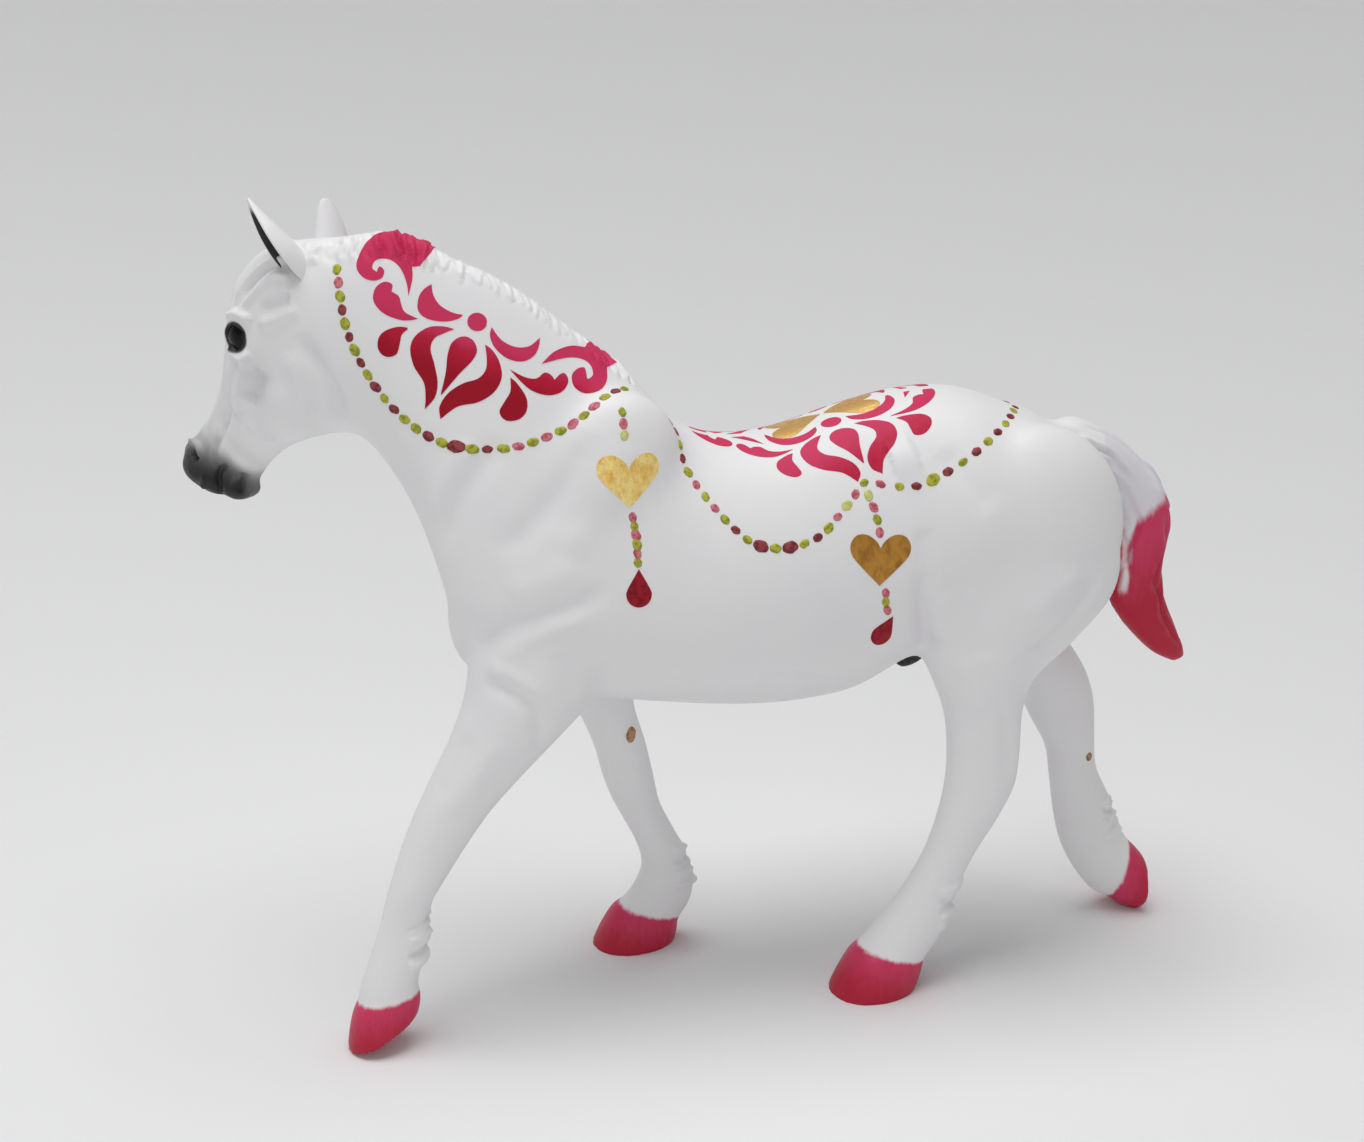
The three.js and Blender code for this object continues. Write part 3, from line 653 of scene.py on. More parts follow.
ridge = np.exp(-((x + 89.9) * 0.82 + (z - 111.5) * 0.57) ** 2 / 2.2) * smoothstep(z, 104, 108)
soot_and_shade = soot_and_shade * (1 - 0.65 * ridge)
bridge = 0.35 * smoothstep(118 - z, 0, 9) * smoothstep(-93.5 - x, 0, 4)
soot_and_shade = np.maximum(soot_and_shade, bridge)
EYE_X, EYE_Z, EYE_LONG, EYE_HIGH = -84.4, 132.8, 2.9, 2.55
lean_x = (x - EYE_X) * 0.79 - (z - EYE_Z) * 0.62
lean_z = (x - EYE_X) * 0.62 + (z - EYE_Z) * 0.79
eye_gap = np.sqrt((lean_x / EYE_LONG) ** 2 + (lean_z / EYE_HIGH) ** 2)
soot_and_shade = np.maximum(soot_and_shade, 0.97 * smoothstep(1.2 - eye_gap, 0, 0.25) * (np.abs(y) > 4.5))
# painted shade: a soft grey patch in the hollow behind the facial crest, mixed into the near black values of
# muzzle and eye
cheek_shade = 0.20 * np.exp(-((x + 79.2) / 4.0) ** 2 - ((z - 125.5) / 6.5) ** 2) * (np.abs(y) > 4)
soot_and_shade = np.maximum(soot_and_shade, cheek_shade)
# painted shade: lilac grey laid into creases and hollows, the more the deeper a point lies below its
# neighbours
bend_in = clay.around(clay.p) - clay.p
cavity = np.einsum("ij,ij->i", bend_in, clay.n)
cavity = cavity / (FINE_GRAIN / (1 + fine.mean())) ** 2
for _ in range(30):
    cavity = clay.around(cavity)[:, 0] * 0.9 + cavity * 0.1
hollow = np.clip(cavity * 3.0, 0, 1)
# painted shade: lilac grey over the upper part of the tail as well
hollow = np.where(on_tail, np.maximum(hollow, 0.45 * smoothstep(z, 88, 96) * smoothstep(118 - z, 0, 12)),
                  hollow)
print("pink on", int((pink > 0.5).sum()), "points, soot on", int((soot_and_shade > 0.5).sum()), "points, hollow mean",
      round(float(hollow.mean()), 3))
PAINT = {"pink": pink, "depth": toe_depth, "soot_and_shade": soot_and_shade, "hollow": hollow}
for name, values in PAINT.items():
    layer = skin.data.attributes.new(name, "FLOAT", "POINT")
    layer.data.foreach_set("value", values.astype(np.float32))

# %% [markdown]
# # The stencil
# Neck and back carry the same painted motif, cut as a stencil on flat card: a disc with a bud
# below it, and on both sides a crescent, a petal, a drop, a leaf and a scroll. An outline is a
# few points with smooth curves between them; a point marked 1 is a sharp tip. The card is then
# held against the body, and a layer of paint 0.07 mm thick is cut out of the skin through it.

# %% Outlines of the stencil: across, down (from the disc), tip
DISC = [(1.7 * math.cos(a), 1.7 * math.sin(a)) for a in np.linspace(0, 2 * math.pi, 8, endpoint=False)]
BUD = [(0.3, 14.9, 1), (-0.8, 10.6), (-1.9, 7.6), (-2.2, 5.2), (-1.1, 3.5), (0.6, 3.3), (2.1, 4.7),
       (2.2, 6.8), (1.3, 10)]
RIGHT_HALF = {
    "crescent": [(2.6, -0.2, 1), (3, 1.4), (4.6, 3), (7.2, 3.9), (9.8, 3.4), (11.3, 1.6), (11.5, -0.4),
                 (11.1, -2.1, 1), (9.8, 0.3), (7.6, 1.4), (5, 1.2)],
    "petal": [(2.9, 3.2, 1), (4.4, 3.6), (6.4, 5.1), (7.9, 7.6), (7.8, 10.6), (6.2, 13.3), (3.6, 15.4),
              (2.1, 18.6, 1), (1, 16.6), (1.2, 13.8), (2.6, 11.2), (4.4, 9.4), (4.9, 7.4), (4.2, 5.4)],
    "drop": [(9.2, 6.9, 1), (10.8, 7.5), (13.2, 9.3), (14.1, 11.6), (13.4, 13.5), (11.6, 14.4), (10.1, 13.4),
             (10.1, 11.4), (10.2, 9.2)],
    "leaf": [(8.6, 5.6, 1), (11.4, 5.8), (13.3, 5.2), (14.2, 3.6), (15.4, 3.5), (16.3, 4.1, 1), (16.9, 2.6),
             (17.7, 2.2), (18.7, 3.4), (18.3, 5.6), (16.4, 7.2), (13.6, 7.6), (11, 6.8)],
    "scroll": [(13.1, 2.3, 1), (14.4, -0.8), (16.8, -3.2), (20.2, -4.6), (23.6, -4.2), (25.3, -1.8),
               (25.3, 0.6), (24.2, 2.8), (22.2, 4.2), (20, 3.8), (18.9, 2), (19.4, 0.4), (20.5, -0.4),
               (21.2, 0.4), (21.8, 1.4), (22.5, 0.2), (21.6, -1.3), (19.8, -1.8), (17, -0.8)],
}
# on the neck the halves differ a little, and the scrolls run up into the mane
NECK_RIGHT = dict(RIGHT_HALF, scroll=[
    (13.1, 2.3, 1), (14.4, -0.8), (16.8, -3.2), (19.5, -4.3, 1), (20.4, -6), (23.2, -6.2), (26.6, -4.6, 1),
    (24.7, -2.4, 1), (25.3, 0.2), (24.4, 2.6), (22.2, 4.2), (20, 3.8), (18.9, 2), (19.4, 0.4), (20.5, -0.4),
    (21.2, 0.4), (21.8, 1.4), (22.5, 0.2), (21.6, -1.3), (19.8, -1.8), (17, -0.8)])
NECK_LEFT = {
    "crescent": [(-2.7, -0.1, 1), (-3.2, 1), (-5.2, 2.5), (-8, 3.2), (-9.9, 2.4), (-10.8, 0.2),
                 (-10.6, -1.6), (-9.9, -2.8, 1), (-8.8, -1.2), (-7, 0), (-4.6, 0.3)],
    "petal": [(-2.9, 2.9, 1), (-4.6, 3.2), (-6.8, 4.4), (-8.1, 6.8), (-7.9, 9.2), (-6, 11.8), (-3.2, 13.8),
              (-1.8, 16), (-0.9, 18.1, 1), (-0.4, 15.4), (-1.2, 12.8), (-3, 10.2), (-4.9, 7.8), (-5.1, 5.8),
              (-4, 4.2)],
    "drop": [(-9.6, 6, 1), (-11.4, 6.7), (-13, 8.4), (-13.3, 10.2), (-12.3, 12), (-10.6, 12.4), (-9.4, 11.2),
             (-9.8, 9.2), (-10.2, 7.6)],
    "leaf": [(-9.1, 3.9, 1), (-11.6, 3.8), (-12.9, 2.7), (-13.8, 1.7), (-15.3, 1.5, 1), (-15.8, 0.3),
             (-17.2, 0.5), (-18, 2.2), (-17.2, 4.4), (-14.8, 5.6), (-12, 5.5), (-10.4, 4.9)],
    "scroll": [(-12.4, 0.9, 1), (-13.9, -1.2), (-16.2, -3.1), (-18.6, -3.5), (-20.4, -2.3), (-20.3, -0.8),
               (-19.2, -0.5, 1), (-19.3, -1.6), (-18.2, -1.3), (-17.9, 0), (-18.8, 1.1), (-20.6, 1.5),
               (-22.6, 0.6), (-23.5, -1.4), (-23.7, -4.8), (-22.6, -7.2), (-20.6, -9.4), (-14.5, -9.8),
               (-12.6, -9.2, 1), (-12.9, -6.4), (-13.2, -4.9, 1), (-14.3, -4.1, 1), (-13.3, -2.3)],
}
LOBE = [(3.4, 5), (5.7, 2.4), (6.1, 0.2), (4.9, -1.6), (2.8, -1.8), (0.9, -0.6)]
HEART = [(0, 8.4, 1), *LOBE, (0, 0.8, 1), *[(-u, v) for u, v in reversed(LOBE)]]
TEAR_ROUND = 2.35
TEAR = [(0, -3.6, 1), *[(TEAR_ROUND * math.cos(a), 1.1 + TEAR_ROUND * math.sin(a))
                        for a in np.linspace(-0.45, math.pi + 0.45, 8)]]


def outline(points):
    """Dense outline through the given points; a tip (third value 1) ends one curve and starts the next."""
    flat = [(p[0], p[1]) for p in points]
    tips = [k for k, p in enumerate(points) if len(p) > 2]
    if not tips:
        return smooth_line(flat, closed=True)[:-1]
    out = []
    for start, end in zip(tips, tips[1:] + [tips[0] + len(points)]):
        piece = [flat[k % len(points)] for k in range(start, end + 1)]
        out.append(smooth_line(piece)[:-1])
    return np.concatenate(out)


class Card:
    """A flat card held against the body: origin, direction across, direction down."""

    def __init__(self, origin, across, down, side=-1):
        self.o, self.u, self.v = (np.array(a, float) for a in (origin, across, down))
        out = np.cross(self.u, self.v)
        self.out = out / np.linalg.norm(out)
        if self.out[1] * side < 0 and abs(self.out[1]) > 0.2:
            self.out = -self.out

    def place(self, uv):
        return self.o + uv[:, :1] * self.u + uv[:, 1:] * self.v


def cutter(card, shapes, depth, mirror=None):
    """Closed prisms on the outlines, along the card's normal, as one mesh."""
    prisms = []
    for points in shapes:
        flat = card.place(outline(points) if not isinstance(points, np.ndarray) else points)
        rim = np.concatenate([flat - card.out * depth[0], flat + card.out * depth[1]])
        if mirror is not None:
            rim = rim * (1, -1, 1) + (0, 2 * mirror, 0)
        n = len(flat)
        deselect()
        bpy.ops.mesh.primitive_circle_add(vertices=n, fill_type="NGON")
        prism = bpy.context.object
        edit_all()
        bpy.ops.mesh.extrude_region_move(TRANSFORM_OT_translate={"value": (0, 0, 1)})
        bpy.ops.object.mode_set(mode="OBJECT")
        order = get_points(prism) * MM
        top = order[:, 2] > 0.5
        turn = np.round(np.arctan2(order[:, 1], order[:, 0]) / (2 * np.pi) * n).astype(int) % n
        set_points(prism, rim[turn + n * top])
        edit_all()
        bpy.ops.mesh.quads_convert_to_tris(quad_method="BEAUTY", ngon_method="BEAUTY")
        bpy.ops.mesh.normals_make_consistent(inside=False)
        bpy.ops.object.mode_set(mode="OBJECT")
        prisms.append(prism)
    return join(prisms)


def combine(obj, other, operation):
    mod = obj.modifiers.new("cut", "BOOLEAN")
    mod.operation = operation
    mod.solver = "MANIFOLD"
    mod.object = other
    activate(obj)
    bpy.ops.object.modifier_apply(modifier="cut")


def copy_of(obj, name):
    deselect()
    obj.select_set(True)
    bpy.context.view_layer.objects.active = obj
    bpy.ops.object.duplicate()
    twin = bpy.context.object
    twin.name = name
    return twin


# %% The layer of paint
set_points(skin, clay.p)
plain = copy_of(skin, "plain_skin")
for name in PAINT:
    plain.data.attributes.remove(plain.data.attributes[name])
activate(plain)
edit_all()
bpy.ops.mesh.quads_convert_to_tris(quad_method="SHORTEST_DIAGONAL", ngon_method="BEAUTY")
bpy.ops.object.mode_set(mode="OBJECT")
LAYER, SUNK = 0.07, 0.05
swollen = copy_of(plain, "swollen_skin")
set_points(swollen, clay.p + LAYER * clay.n)
set_points(plain, clay.p - SUNK * clay.n)


def painted(name, parts):
    """What lies between plain and swollen skin inside the prisms."""
    prisms = []
    for card, shapes, depth, mirror, clip in parts:
        prism = cutter(card, shapes, depth, mirror)
        if clip is not None:
            deselect()
            bpy.ops.mesh.primitive_cube_add(size=1)
            box = bpy.context.object
            y0, y1 = clip
            set_points(box, get_points(box) * MM * (600, y1 - y0, 600) + (0, (y0 + y1) / 2, 100))
            combine(prism, box, "INTERSECT")
            bpy.data.objects.remove(box)
        prisms.append(prism)
    stencil = join(prisms)
    copy_of(swollen, name)
    combine(bpy.context.object, stencil, "INTERSECT")
    combine(bpy.context.object, plain, "DIFFERENCE")
    bpy.data.objects.remove(stencil)
    film = bpy.context.object
    film.name = name
    p = get_points(film)
    layer = film.data.attributes.new("depth", "FLOAT", "POINT")
    card = parts[0][0]
    near = p * (1, -1, 1) * (p[:, 1:2] > 0) + p * (p[:, 1:2] <= 0)
    down = (near - card.o) @ (card.v / np.dot(card.v, card.v))
    across = (near - card.o) @ (card.u / np.dot(card.u, card.u))
    share = 0.4 if name == "back_ornament" else 1.0
    layer.data.foreach_set("value", (share * smoothstep(down + 0.08 * across, -1, 14)).astype(np.float32))
    print(name, "has", len(film.data.polygons), "faces in", len(parts), "cuts")
    return film


NECK_CARD = Card((-39.8, -6, 137), (0.894, 0, -0.447), (-0.428, -0.287, -0.857))
neck_shapes = [DISC, BUD, *NECK_LEFT.values(), *NECK_RIGHT.values()]
neck_ornament = painted("neck_ornament", [
    (NECK_CARD, neck_shapes, (14, 10), None, (-60, -0.01)),
    (NECK_CARD, neck_shapes, (14, 10), 0, (0.01, 60))])

# on the back the card lies across the croup, wider and shorter, and sags a little behind
BACK_LINE = -1.5
BACK_CARD = Card((26.4, -5.6, 115.8), (0.985, -0.02, 0.145), (0.331, -0.731, -0.592))
BACK_CARD.out = np.array([-0.123, -0.658, 0.743])


def on_back(points):
    """Stencil outline -> outline on the back card."""
    uv = outline(points)
    u = 1.22 * uv[:, 0]
    ahead = np.minimum(u + 9, 0)               # towards the withers it is drawn narrower
    return np.stack([u - 0.24 * ahead, 0.78 * uv[:, 1] - 0.12 * u - 0.008 * u ** 2], axis=1)


mirrored_half = [[(-p[0], *p[1:]) for p in shape] for shape in RIGHT_HALF.values()]
back_shapes = [on_back(s) for s in [DISC, BUD, *RIGHT_HALF.values(), *mirrored_half]]
back_ornament = painted("back_ornament", [
    (BACK_CARD, back_shapes, (14, 14), None, (-60, BACK_LINE - 1.0)),
    (BACK_CARD, back_shapes, (14, 14), BACK_LINE, (BACK_LINE + 1.0, 60))])

# %% [markdown]
# # Hearts of gold leaf and red drops
# Four hearts are laid in gold: one on each shoulder and flank, and two point to point across the
# back. Below the side hearts hangs a painted drop. They are cut from the same layer of paint,
# through cards held flat against the side or over the back.


# %% Hearts and drops
def scaled(points, du, dv, turn=0.0):
    t = math.radians(turn)
    return [(p[0] * du * math.cos(t) - p[1] * dv * math.sin(t),
             p[0] * du * math.sin(t) + p[1] * dv * math.cos(t), *p[2:])
            for p in points]


def side_card(x, z):
    return Card((x, -20, z), (1, 0, 0), (0, 0, -1))


def both_sides(card, shape, depth=(8, 12)):
    return [(card, [shape], depth, None, None), (card, [shape], depth, 0, None)]


leaf_front = painted("gold_leaf_front", both_sides(side_card(-15, 111.8), scaled(HEART, 0.96, 0.95)))
leaf_rear = painted("gold_leaf_rear", both_sides(side_card(32.1, 95.3), scaled(HEART, 0.96, 0.93, 3)))
BACK_HEART_CARD = Card((25.4, -1.6, 116), (0, 1, 0), (0.985, 0, 0.16))
BACK_HEART_CARD.out = np.array([-0.16, -0.05, 0.98])
front_heart = [(p[0] * 0.72, (p[1] - 8.4) * 1.02, *p[2:]) for p in HEART]
rear_heart = [(p[0] * 0.72, (8.4 - p[1]) * 1.06 + 0.5, *p[2:]) for p in HEART]
leaf_back = painted("gold_leaf_back", [(BACK_HEART_CARD, [front_heart, rear_heart], (10, 10), None, None)])
drops = painted("red_drops", both_sides(side_card(-14, 89.2), scaled(TEAR, 1, 1, 2))
                + both_sides(side_card(33.2, 78.2), scaled(TEAR, 0.92, 0.92, 28)))

# %% [markdown]
# # Strings of beads
# The garlands are dabs of thick paint, olive, brown and rose in turn. One dab is modelled from a
# sphere, flattened to a low dome; copies are set along each garland, every copy turned so that it
# lies on the skin, and a letter gives its colour: o olive, g pale green, b brown, r rose, and a
# capital letter a large one.

# %% Dabs along the garlands
GARLANDS = [   # colours, then where the string hangs: along, aside, height
    ("orobobobobobooboBobororororobo", [(-64, -5, 146), (-61, -8, 134), (-55, -10, 123), (-46, -12, 116),
                                        (-35, -13, 115), (-24, -12, 119), (-14, -7, 124)]),
    ("org", [(-15.5, -13, 121), (-15.5, -14, 119), (-15.5, -15, 117)]),
    ("rororo", [(-14.5, -17, 102), (-14, -18, 98), (-14, -19.5, 94)]),
    ("obobororoboBoBoborgro", [(-5, -5.5, 117.5), (-4, -11, 111), (1, -16, 103), (7, -19.5, 97),
                               (13, -20.5, 95.5), (20, -20, 97), (25, -18, 101), (30, -16, 106)]),
    ("robObobobobob", [(33, -17, 106), (40, -18, 105.5), (50, -17, 110), (59, -12, 115), (65, -2.5, 116.5)]),
    ("gror", [(30.5, -17.5, 104), (31.5, -19, 101), (32, -20.5, 97.5)]),
    ("ror", [(33, -22, 86), (33, -22, 84.5), (33.5, -22, 82.5)]),
]
DAB_LONG, DAB_WIDE, DAB_HIGH = 1.12, 0.84, 0.24
deselect()
bpy.ops.mesh.primitive_uv_sphere_add(segments=14, ring_count=8, radius=1)
dab = bpy.context.object
dab_points = get_points(dab) * MM
tree = skin_tree()
bead_sets = {}
for letters, knots in GARLANDS:
    line = smooth_line(knots)
    walked = np.concatenate([[0], np.cumsum(np.linalg.norm(np.diff(line, axis=0), axis=1))])
    at = np.linspace(0, walked[-1], len(letters))
    centres_line = np.stack([np.interp(at, walked, line[:, k]) for k in range(3)], axis=1)
    ways_line = np.gradient(centres_line, axis=0)
    centres_line, outs = lay(centres_line, tree)
    for letter, centre, way, out in zip(letters, centres_line, ways_line, outs):
        big = 1.4 if letter.isupper() else random.uniform(0.86, 1.08)
        lean = random.uniform(-0.35, 0.35)
        way = way - out * (way @ out)
        way /= np.linalg.norm(way)
        cross = np.cross(out, way)
        a = way * math.cos(lean) + cross * math.sin(lean)
        b = -way * math.sin(lean) + cross * math.cos(lean)
        bead = (centre, a * DAB_LONG * big, b * DAB_WIDE * big, out * DAB_HIGH)
        bead_sets.setdefault(letter.lower(), []).append(bead)


def dabs(name, rows, sides=(1, -1)):
    """Copies of the dab, one for each row (centre, long, wide and high axis), on both sides."""
    copies = []
    for centre, a, b, c in rows:
        for side in sides:
            twin = copy_of(dab, name)
            ripple = 0.07 * np.sin(3 * dab_points[:, :1] * 2 + centre[0])
            bumps = 1 + ripple * np.cos(2.3 * dab_points[:, 1:2] + centre[2])
            p = centre + (dab_points[:, :1] * a + dab_points[:, 1:2] * b) * bumps + dab_points[:, 2:] * c
            set_points(twin, p * (1, side, 1))
            copies.append(twin)
    made = join(copies)
    made.name = name
    face_outwards()
    bpy.ops.object.shade_smooth()
    print(name, "has", len(copies), "dabs")
    return made


BEAD_NAMES = {"o": "beads_olive", "g": "beads_pale_green", "b": "beads_brown", "r": "beads_rose"}
beads = {letter: dabs(BEAD_NAMES[letter], rows) for letter, rows in bead_sets.items()}

# %% Chestnuts inside the legs, and the sheath
CHESTNUTS = [((-10.1, 10.2, 48.9), (0.45, 0, 1.7)), ((90.2, 7.8, 36.7), (0.4, 0, 0.9)),
             ((-46.5, -10, 49.5), (0.8, 0, 1.6)), ((55, -10.4, 38), (0.5, 0, 1.5))]
rows = []
for centre, way in CHESTNUTS:
    place, out = lay([centre], tree)
    way = np.array(way) - out[0] * (np.array(way) @ out[0])
    length = np.linalg.norm(way)
    rows.append((place[0], way, np.cross(out[0], way / length) * (0.95 + 0.35 * (length > 1.5)),
                 out[0] * 0.25))
chestnuts = dabs("chestnuts", rows, sides=(1,))
rows = [(np.array([45.4, -1.5, 66.3]), np.array([3.4, 0, 1.5]), np.array([0, 2.0, 0]),
         np.array([-0.8, 0, 1.9]))]
sheath = dabs("sheath", rows, sides=(1,))

# %% [markdown]
# # Eyes and ears
# The eye is a small polished ball sunk in the socket, long and slanting as a calm horse's eye is.
# The ear is a strip rolled into a half tube, wide at the root and closing to a point, then given
# its wall with a solidify modifier.

# %% Eyes
tilt = math.radians(44)
eye_axis = np.array([math.cos(tilt), -0.32, -math.sin(tilt)])
rows = [(np.array([-84.3, -6.4, 132.9]), eye_axis * 3.2, np.array([math.sin(tilt), 0, math.cos(tilt)]) * 2.7,
         np.array([-0.25, -2.2, 0.1]))]
eyes = dabs("eyes", rows)
bpy.data.objects.remove(dab)

# %% Ears
EARS = {   # x, z, distance from the middle line, half width, depth of the roll; the way the roll opens
    "left_ear": ([(-68.8, 141.5, 0.4, 1.7, 3.2), (-69.8, 145, 1.5, 2.2, 4.4), (-71.1, 148, 3.2, 2.8, 4.8),
                  (-72.9, 150.9, 4.9, 3.1, 4.4), (-75.2, 153.6, 6.2, 2.6, 3.3), (-77.6, 156, 6.9, 1.7, 1.9),
                  (-79.4, 157.8, 7.3, 0.75, 0.75), (-80, 158.5, 7.4, 0.2, 0.2)], (-0.66, -0.75, -0.05)),
    "right_ear": ([(-67.6, 142, 3.4, 2.8, 2.6), (-68.6, 146, 4.6, 3.5, 2.8), (-69.7, 149.6, 5.7, 3.7, 2.6),
                   (-70.9, 152.8, 6.6, 3.1, 2.1), (-72, 155.2, 7.1, 2.2, 1.4), (-72.8, 156.9, 7.4, 1.3, 0.8),
                   (-73.1, 157.5, 7.5, 0.45, 0.25)], (-0.9, -0.42, -0.1)),
}


EAR_CURL, EAR_WALL = 1.5, 0.55                 # half angle of the roll in radians, wall in millimetres


def ear(name, side):
    rows, front = EARS[name]
    rows = spline(rows, 30) * (1, 1, -1, 1, 1)
    across_count = 16
    deselect()
    bpy.ops.mesh.primitive_grid_add(x_subdivisions=across_count, y_subdivisions=len(rows) - 1)
    obj = bpy.context.object
    axis = rows[22, [0, 2, 1]] - rows[4, [0, 2, 1]]
    axis /= np.linalg.norm(axis)
    front = np.array(front)
    front -= axis * (front @ axis)
    front /= np.linalg.norm(front)
    wide = np.cross(front, axis)
    points = []
    for x, z, y, half, roll in rows:
        for k in np.linspace(-1, 1, across_count + 1):
            a = k * EAR_CURL
            points.append(np.array([x, y, z]) + wide * half * math.sin(a)
                          + front * roll * (1 - math.cos(a)))
    points = np.array(points) * (1, side, 1)
    set_points(obj, points)
    obj.name = name + "_sheet"
    wall = obj.modifiers.new("wall", "SOLIDIFY")
    wall.thickness = EAR_WALL * MM
    wall.offset = 0
    bpy.ops.object.modifier_apply(modifier="wall")
    face_outwards()
    soft = obj.modifiers.new("soft", "SUBSURF")
    soft.levels = soft.render_levels = 1
    bpy.ops.object.modifier_apply(modifier="soft")
    bpy.ops.object.shade_smooth()
    p = get_points(obj) * (1, side, 1)
    centre = np.stack([np.interp(p[:, 2], rows[:, 1], rows[:, k]) for k in (0, 2, 1)], axis=1)
    normals = np.empty(len(p) * 3)
    obj.data.vertices.foreach_get("normal", normals)
    normals = normals.reshape(-1, 3) * (1, side, 1)
    to_axis = (centre + front * np.interp(p[:, 2], rows[:, 1], rows[:, 4])[:, None]) - p
    inside = smoothstep((to_axis * normals).sum(1), -0.1, 0.5)
    layer = obj.data.attributes.new("soot_and_shade", "FLOAT", "POINT")
    layer.data.foreach_set("value", (0.93 * inside * smoothstep(157.6 - p[:, 2], 0, 2.5)).astype(np.float32))
    print(name, "has", len(obj.data.polygons), "faces")
    return obj


left_ear, right_ear = ear("left_ear", 1), ear("right_ear", -1)

# %% [markdown]
# # Turning the head
# All that was modelled straight is bent with the neck in one go, and moved so that the horse
# stands over the middle of its box, soles on the floor. The skin's own bent shape is only noted
# here: it is taken apart while still straight, where its seams are flat.

# %% Bend the neck
bpy.data.objects.remove(plain)
bpy.data.objects.remove(swollen)
EXTRAS = [neck_ornament, back_ornament, leaf_front, leaf_rear, leaf_back, drops, *beads.values(), chestnuts,
          sheath, eyes, left_ear, right_ear]


def stood(points):
    """Straight points -> points of the finished horse."""
    out = turned(points) + SHIFT
    out[:, 2] = np.maximum(out[:, 2], 0)
    return out


for obj in EXTRAS:
    set_points(obj, stood(get_points(obj)))
clay.p = stood(straight)
clay.normals()
print("size", np.round(clay.p.min(0), 2), np.round(clay.p.max(0), 2))
set_points(skin, straight)

# %% [markdown]
# # Taking the skin apart
# The casting has a left and a right body shell, four legs and a tail. The skin is cut on the planes
# of those seams while it is straight. Each rim is laid flat for a moment, so that the opening
# fills with one clean cap, then goes back a little deeper and is bent with the rest. Every point
# keeps the normal of the whole skin, so the filled and painted seams don't show.

# %% Separate the pieces
FORE_SEAM, HIND_SEAM = 57.5, 62.0
TAIL_TOP, TAIL_LOW, TAIL_STEP, TAIL_RIM, TAIL_HALF = 84.6, 86.5, 99.0, 116.0, 8.0
RECESS, DOCK_RECESS = 0.12, 1.8              # the caps lie this far inside
normal_layer = skin.data.attributes.new("whole", "FLOAT_VECTOR", "POINT")
normal_layer.data.foreach_set("vector", clay.n.astype(np.float32).ravel())
straight_layer = skin.data.attributes.new("straight_normal", "FLOAT_VECTOR", "POINT")
straight_layer.data.foreach_set("vector", straight_n.astype(np.float32).ravel())
activate(skin)
edit_all()
SEAMS = [(1, 0.0), (2, FORE_SEAM), (2, HIND_SEAM), (0, TAIL_TOP), (0, TAIL_LOW), (2, TAIL_STEP),
         (2, TAIL_RIM), (1, -TAIL_HALF), (1, TAIL_HALF)]
for axis, at in SEAMS:
    bpy.ops.mesh.select_all(action="SELECT")
    bpy.ops.mesh.bisect(plane_co=tuple(np.eye(3)[axis] * at * MM), plane_no=tuple(np.eye(3)[axis]),
                        threshold=1e-7)
bpy.ops.object.mode_set(mode="OBJECT")
count = len(skin.data.polygons)
middle = np.empty(count * 3)
skin.data.polygons.foreach_get("center", middle)
middle = middle.reshape(-1, 3) / MM
fx, fy, fz = middle.T
part = np.where(fy < 0, 0, 1)
part[(fz < FORE_SEAM) & (fx < 12)] = 2
part[(fz < HIND_SEAM) & (fx > 38)] = 4
part[(part >= 2) & (fy > 0)] += 1
part[(fx > TAIL_TOP) & (fz > HIND_SEAM) & (np.abs(fy) < TAIL_HALF) & (fz < TAIL_RIM)
     & ((fx > TAIL_LOW) | (fz > TAIL_STEP))] = 6
part[(fx > 99) & (fz > 58) & (fz < 66)] = 6
PARTS = ["left_body_shell", "right_body_shell", "left_foreleg", "right_foreleg", "left_hindleg",
         "right_hindleg", "tail"]


def take_off(label, name):
    """Copy of the skin with only the faces of one part, its opening closed."""
    piece = copy_of(skin, name + "_skin")
    piece.data.polygons.foreach_set("select", part != label)
    bpy.ops.object.mode_set(mode="EDIT")
    bpy.ops.mesh.select_mode(type="FACE")
    bpy.ops.object.mode_set(mode="OBJECT")
    piece.data.polygons.foreach_set("select", part != label)
    bpy.ops.object.mode_set(mode="EDIT")
    bpy.ops.mesh.delete(type="FACE")
    bpy.ops.mesh.select_mode(type="EDGE")
    bpy.ops.mesh.select_all(action="DESELECT")
    bpy.ops.mesh.select_non_manifold()
    bpy.ops.mesh.extrude_edges_move()
    bpy.ops.object.mode_set(mode="OBJECT")
    rim = np.zeros(len(piece.data.vertices), bool)
    piece.data.vertices.foreach_get("select", rim)
    normals = np.empty(len(piece.data.vertices) * 3)
    piece.data.attributes["whole"].data.foreach_get("vector", normals)
    normals = normals.reshape(-1, 3)
    straight_normals = np.empty(len(piece.data.vertices) * 3)
    piece.data.attributes["straight_normal"].data.foreach_get("vector", straight_normals)
    there = get_points(piece)
    aside = 0.3 * np.abs(there[:, 1])
    flat = np.stack([there[:, 0] + aside, 0 * aside, there[:, 2] - aside], axis=1)
    set_points(piece, np.where(rim[:, None], flat, there))          # the rims lie flat while they are filled
    edit_all()
    bpy.ops.mesh.fill_holes(sides=0)
    bpy.ops.mesh.quads_convert_to_tris(quad_method="SHORTEST_DIAGONAL", ngon_method="CLIP")
    bpy.ops.object.mode_set(mode="OBJECT")
    round_dock = (there[:, 0] > 81) & (there[:, 2] > 92)
    sunk = rim * np.where(round_dock, DOCK_RECESS, RECESS)
    set_points(piece, there - sunk[:, None] * straight_normals.reshape(-1, 3))
    face_outwards()
    set_points(piece, stood(get_points(piece)))
    piece.data.polygons.foreach_set("use_smooth", np.ones(len(piece.data.polygons), bool))
    piece.data.normals_split_custom_set_from_vertices(normals)
    for spare in ("whole", "straight_normal"):
        piece.data.attributes.remove(piece.data.attributes[spare])
    return piece


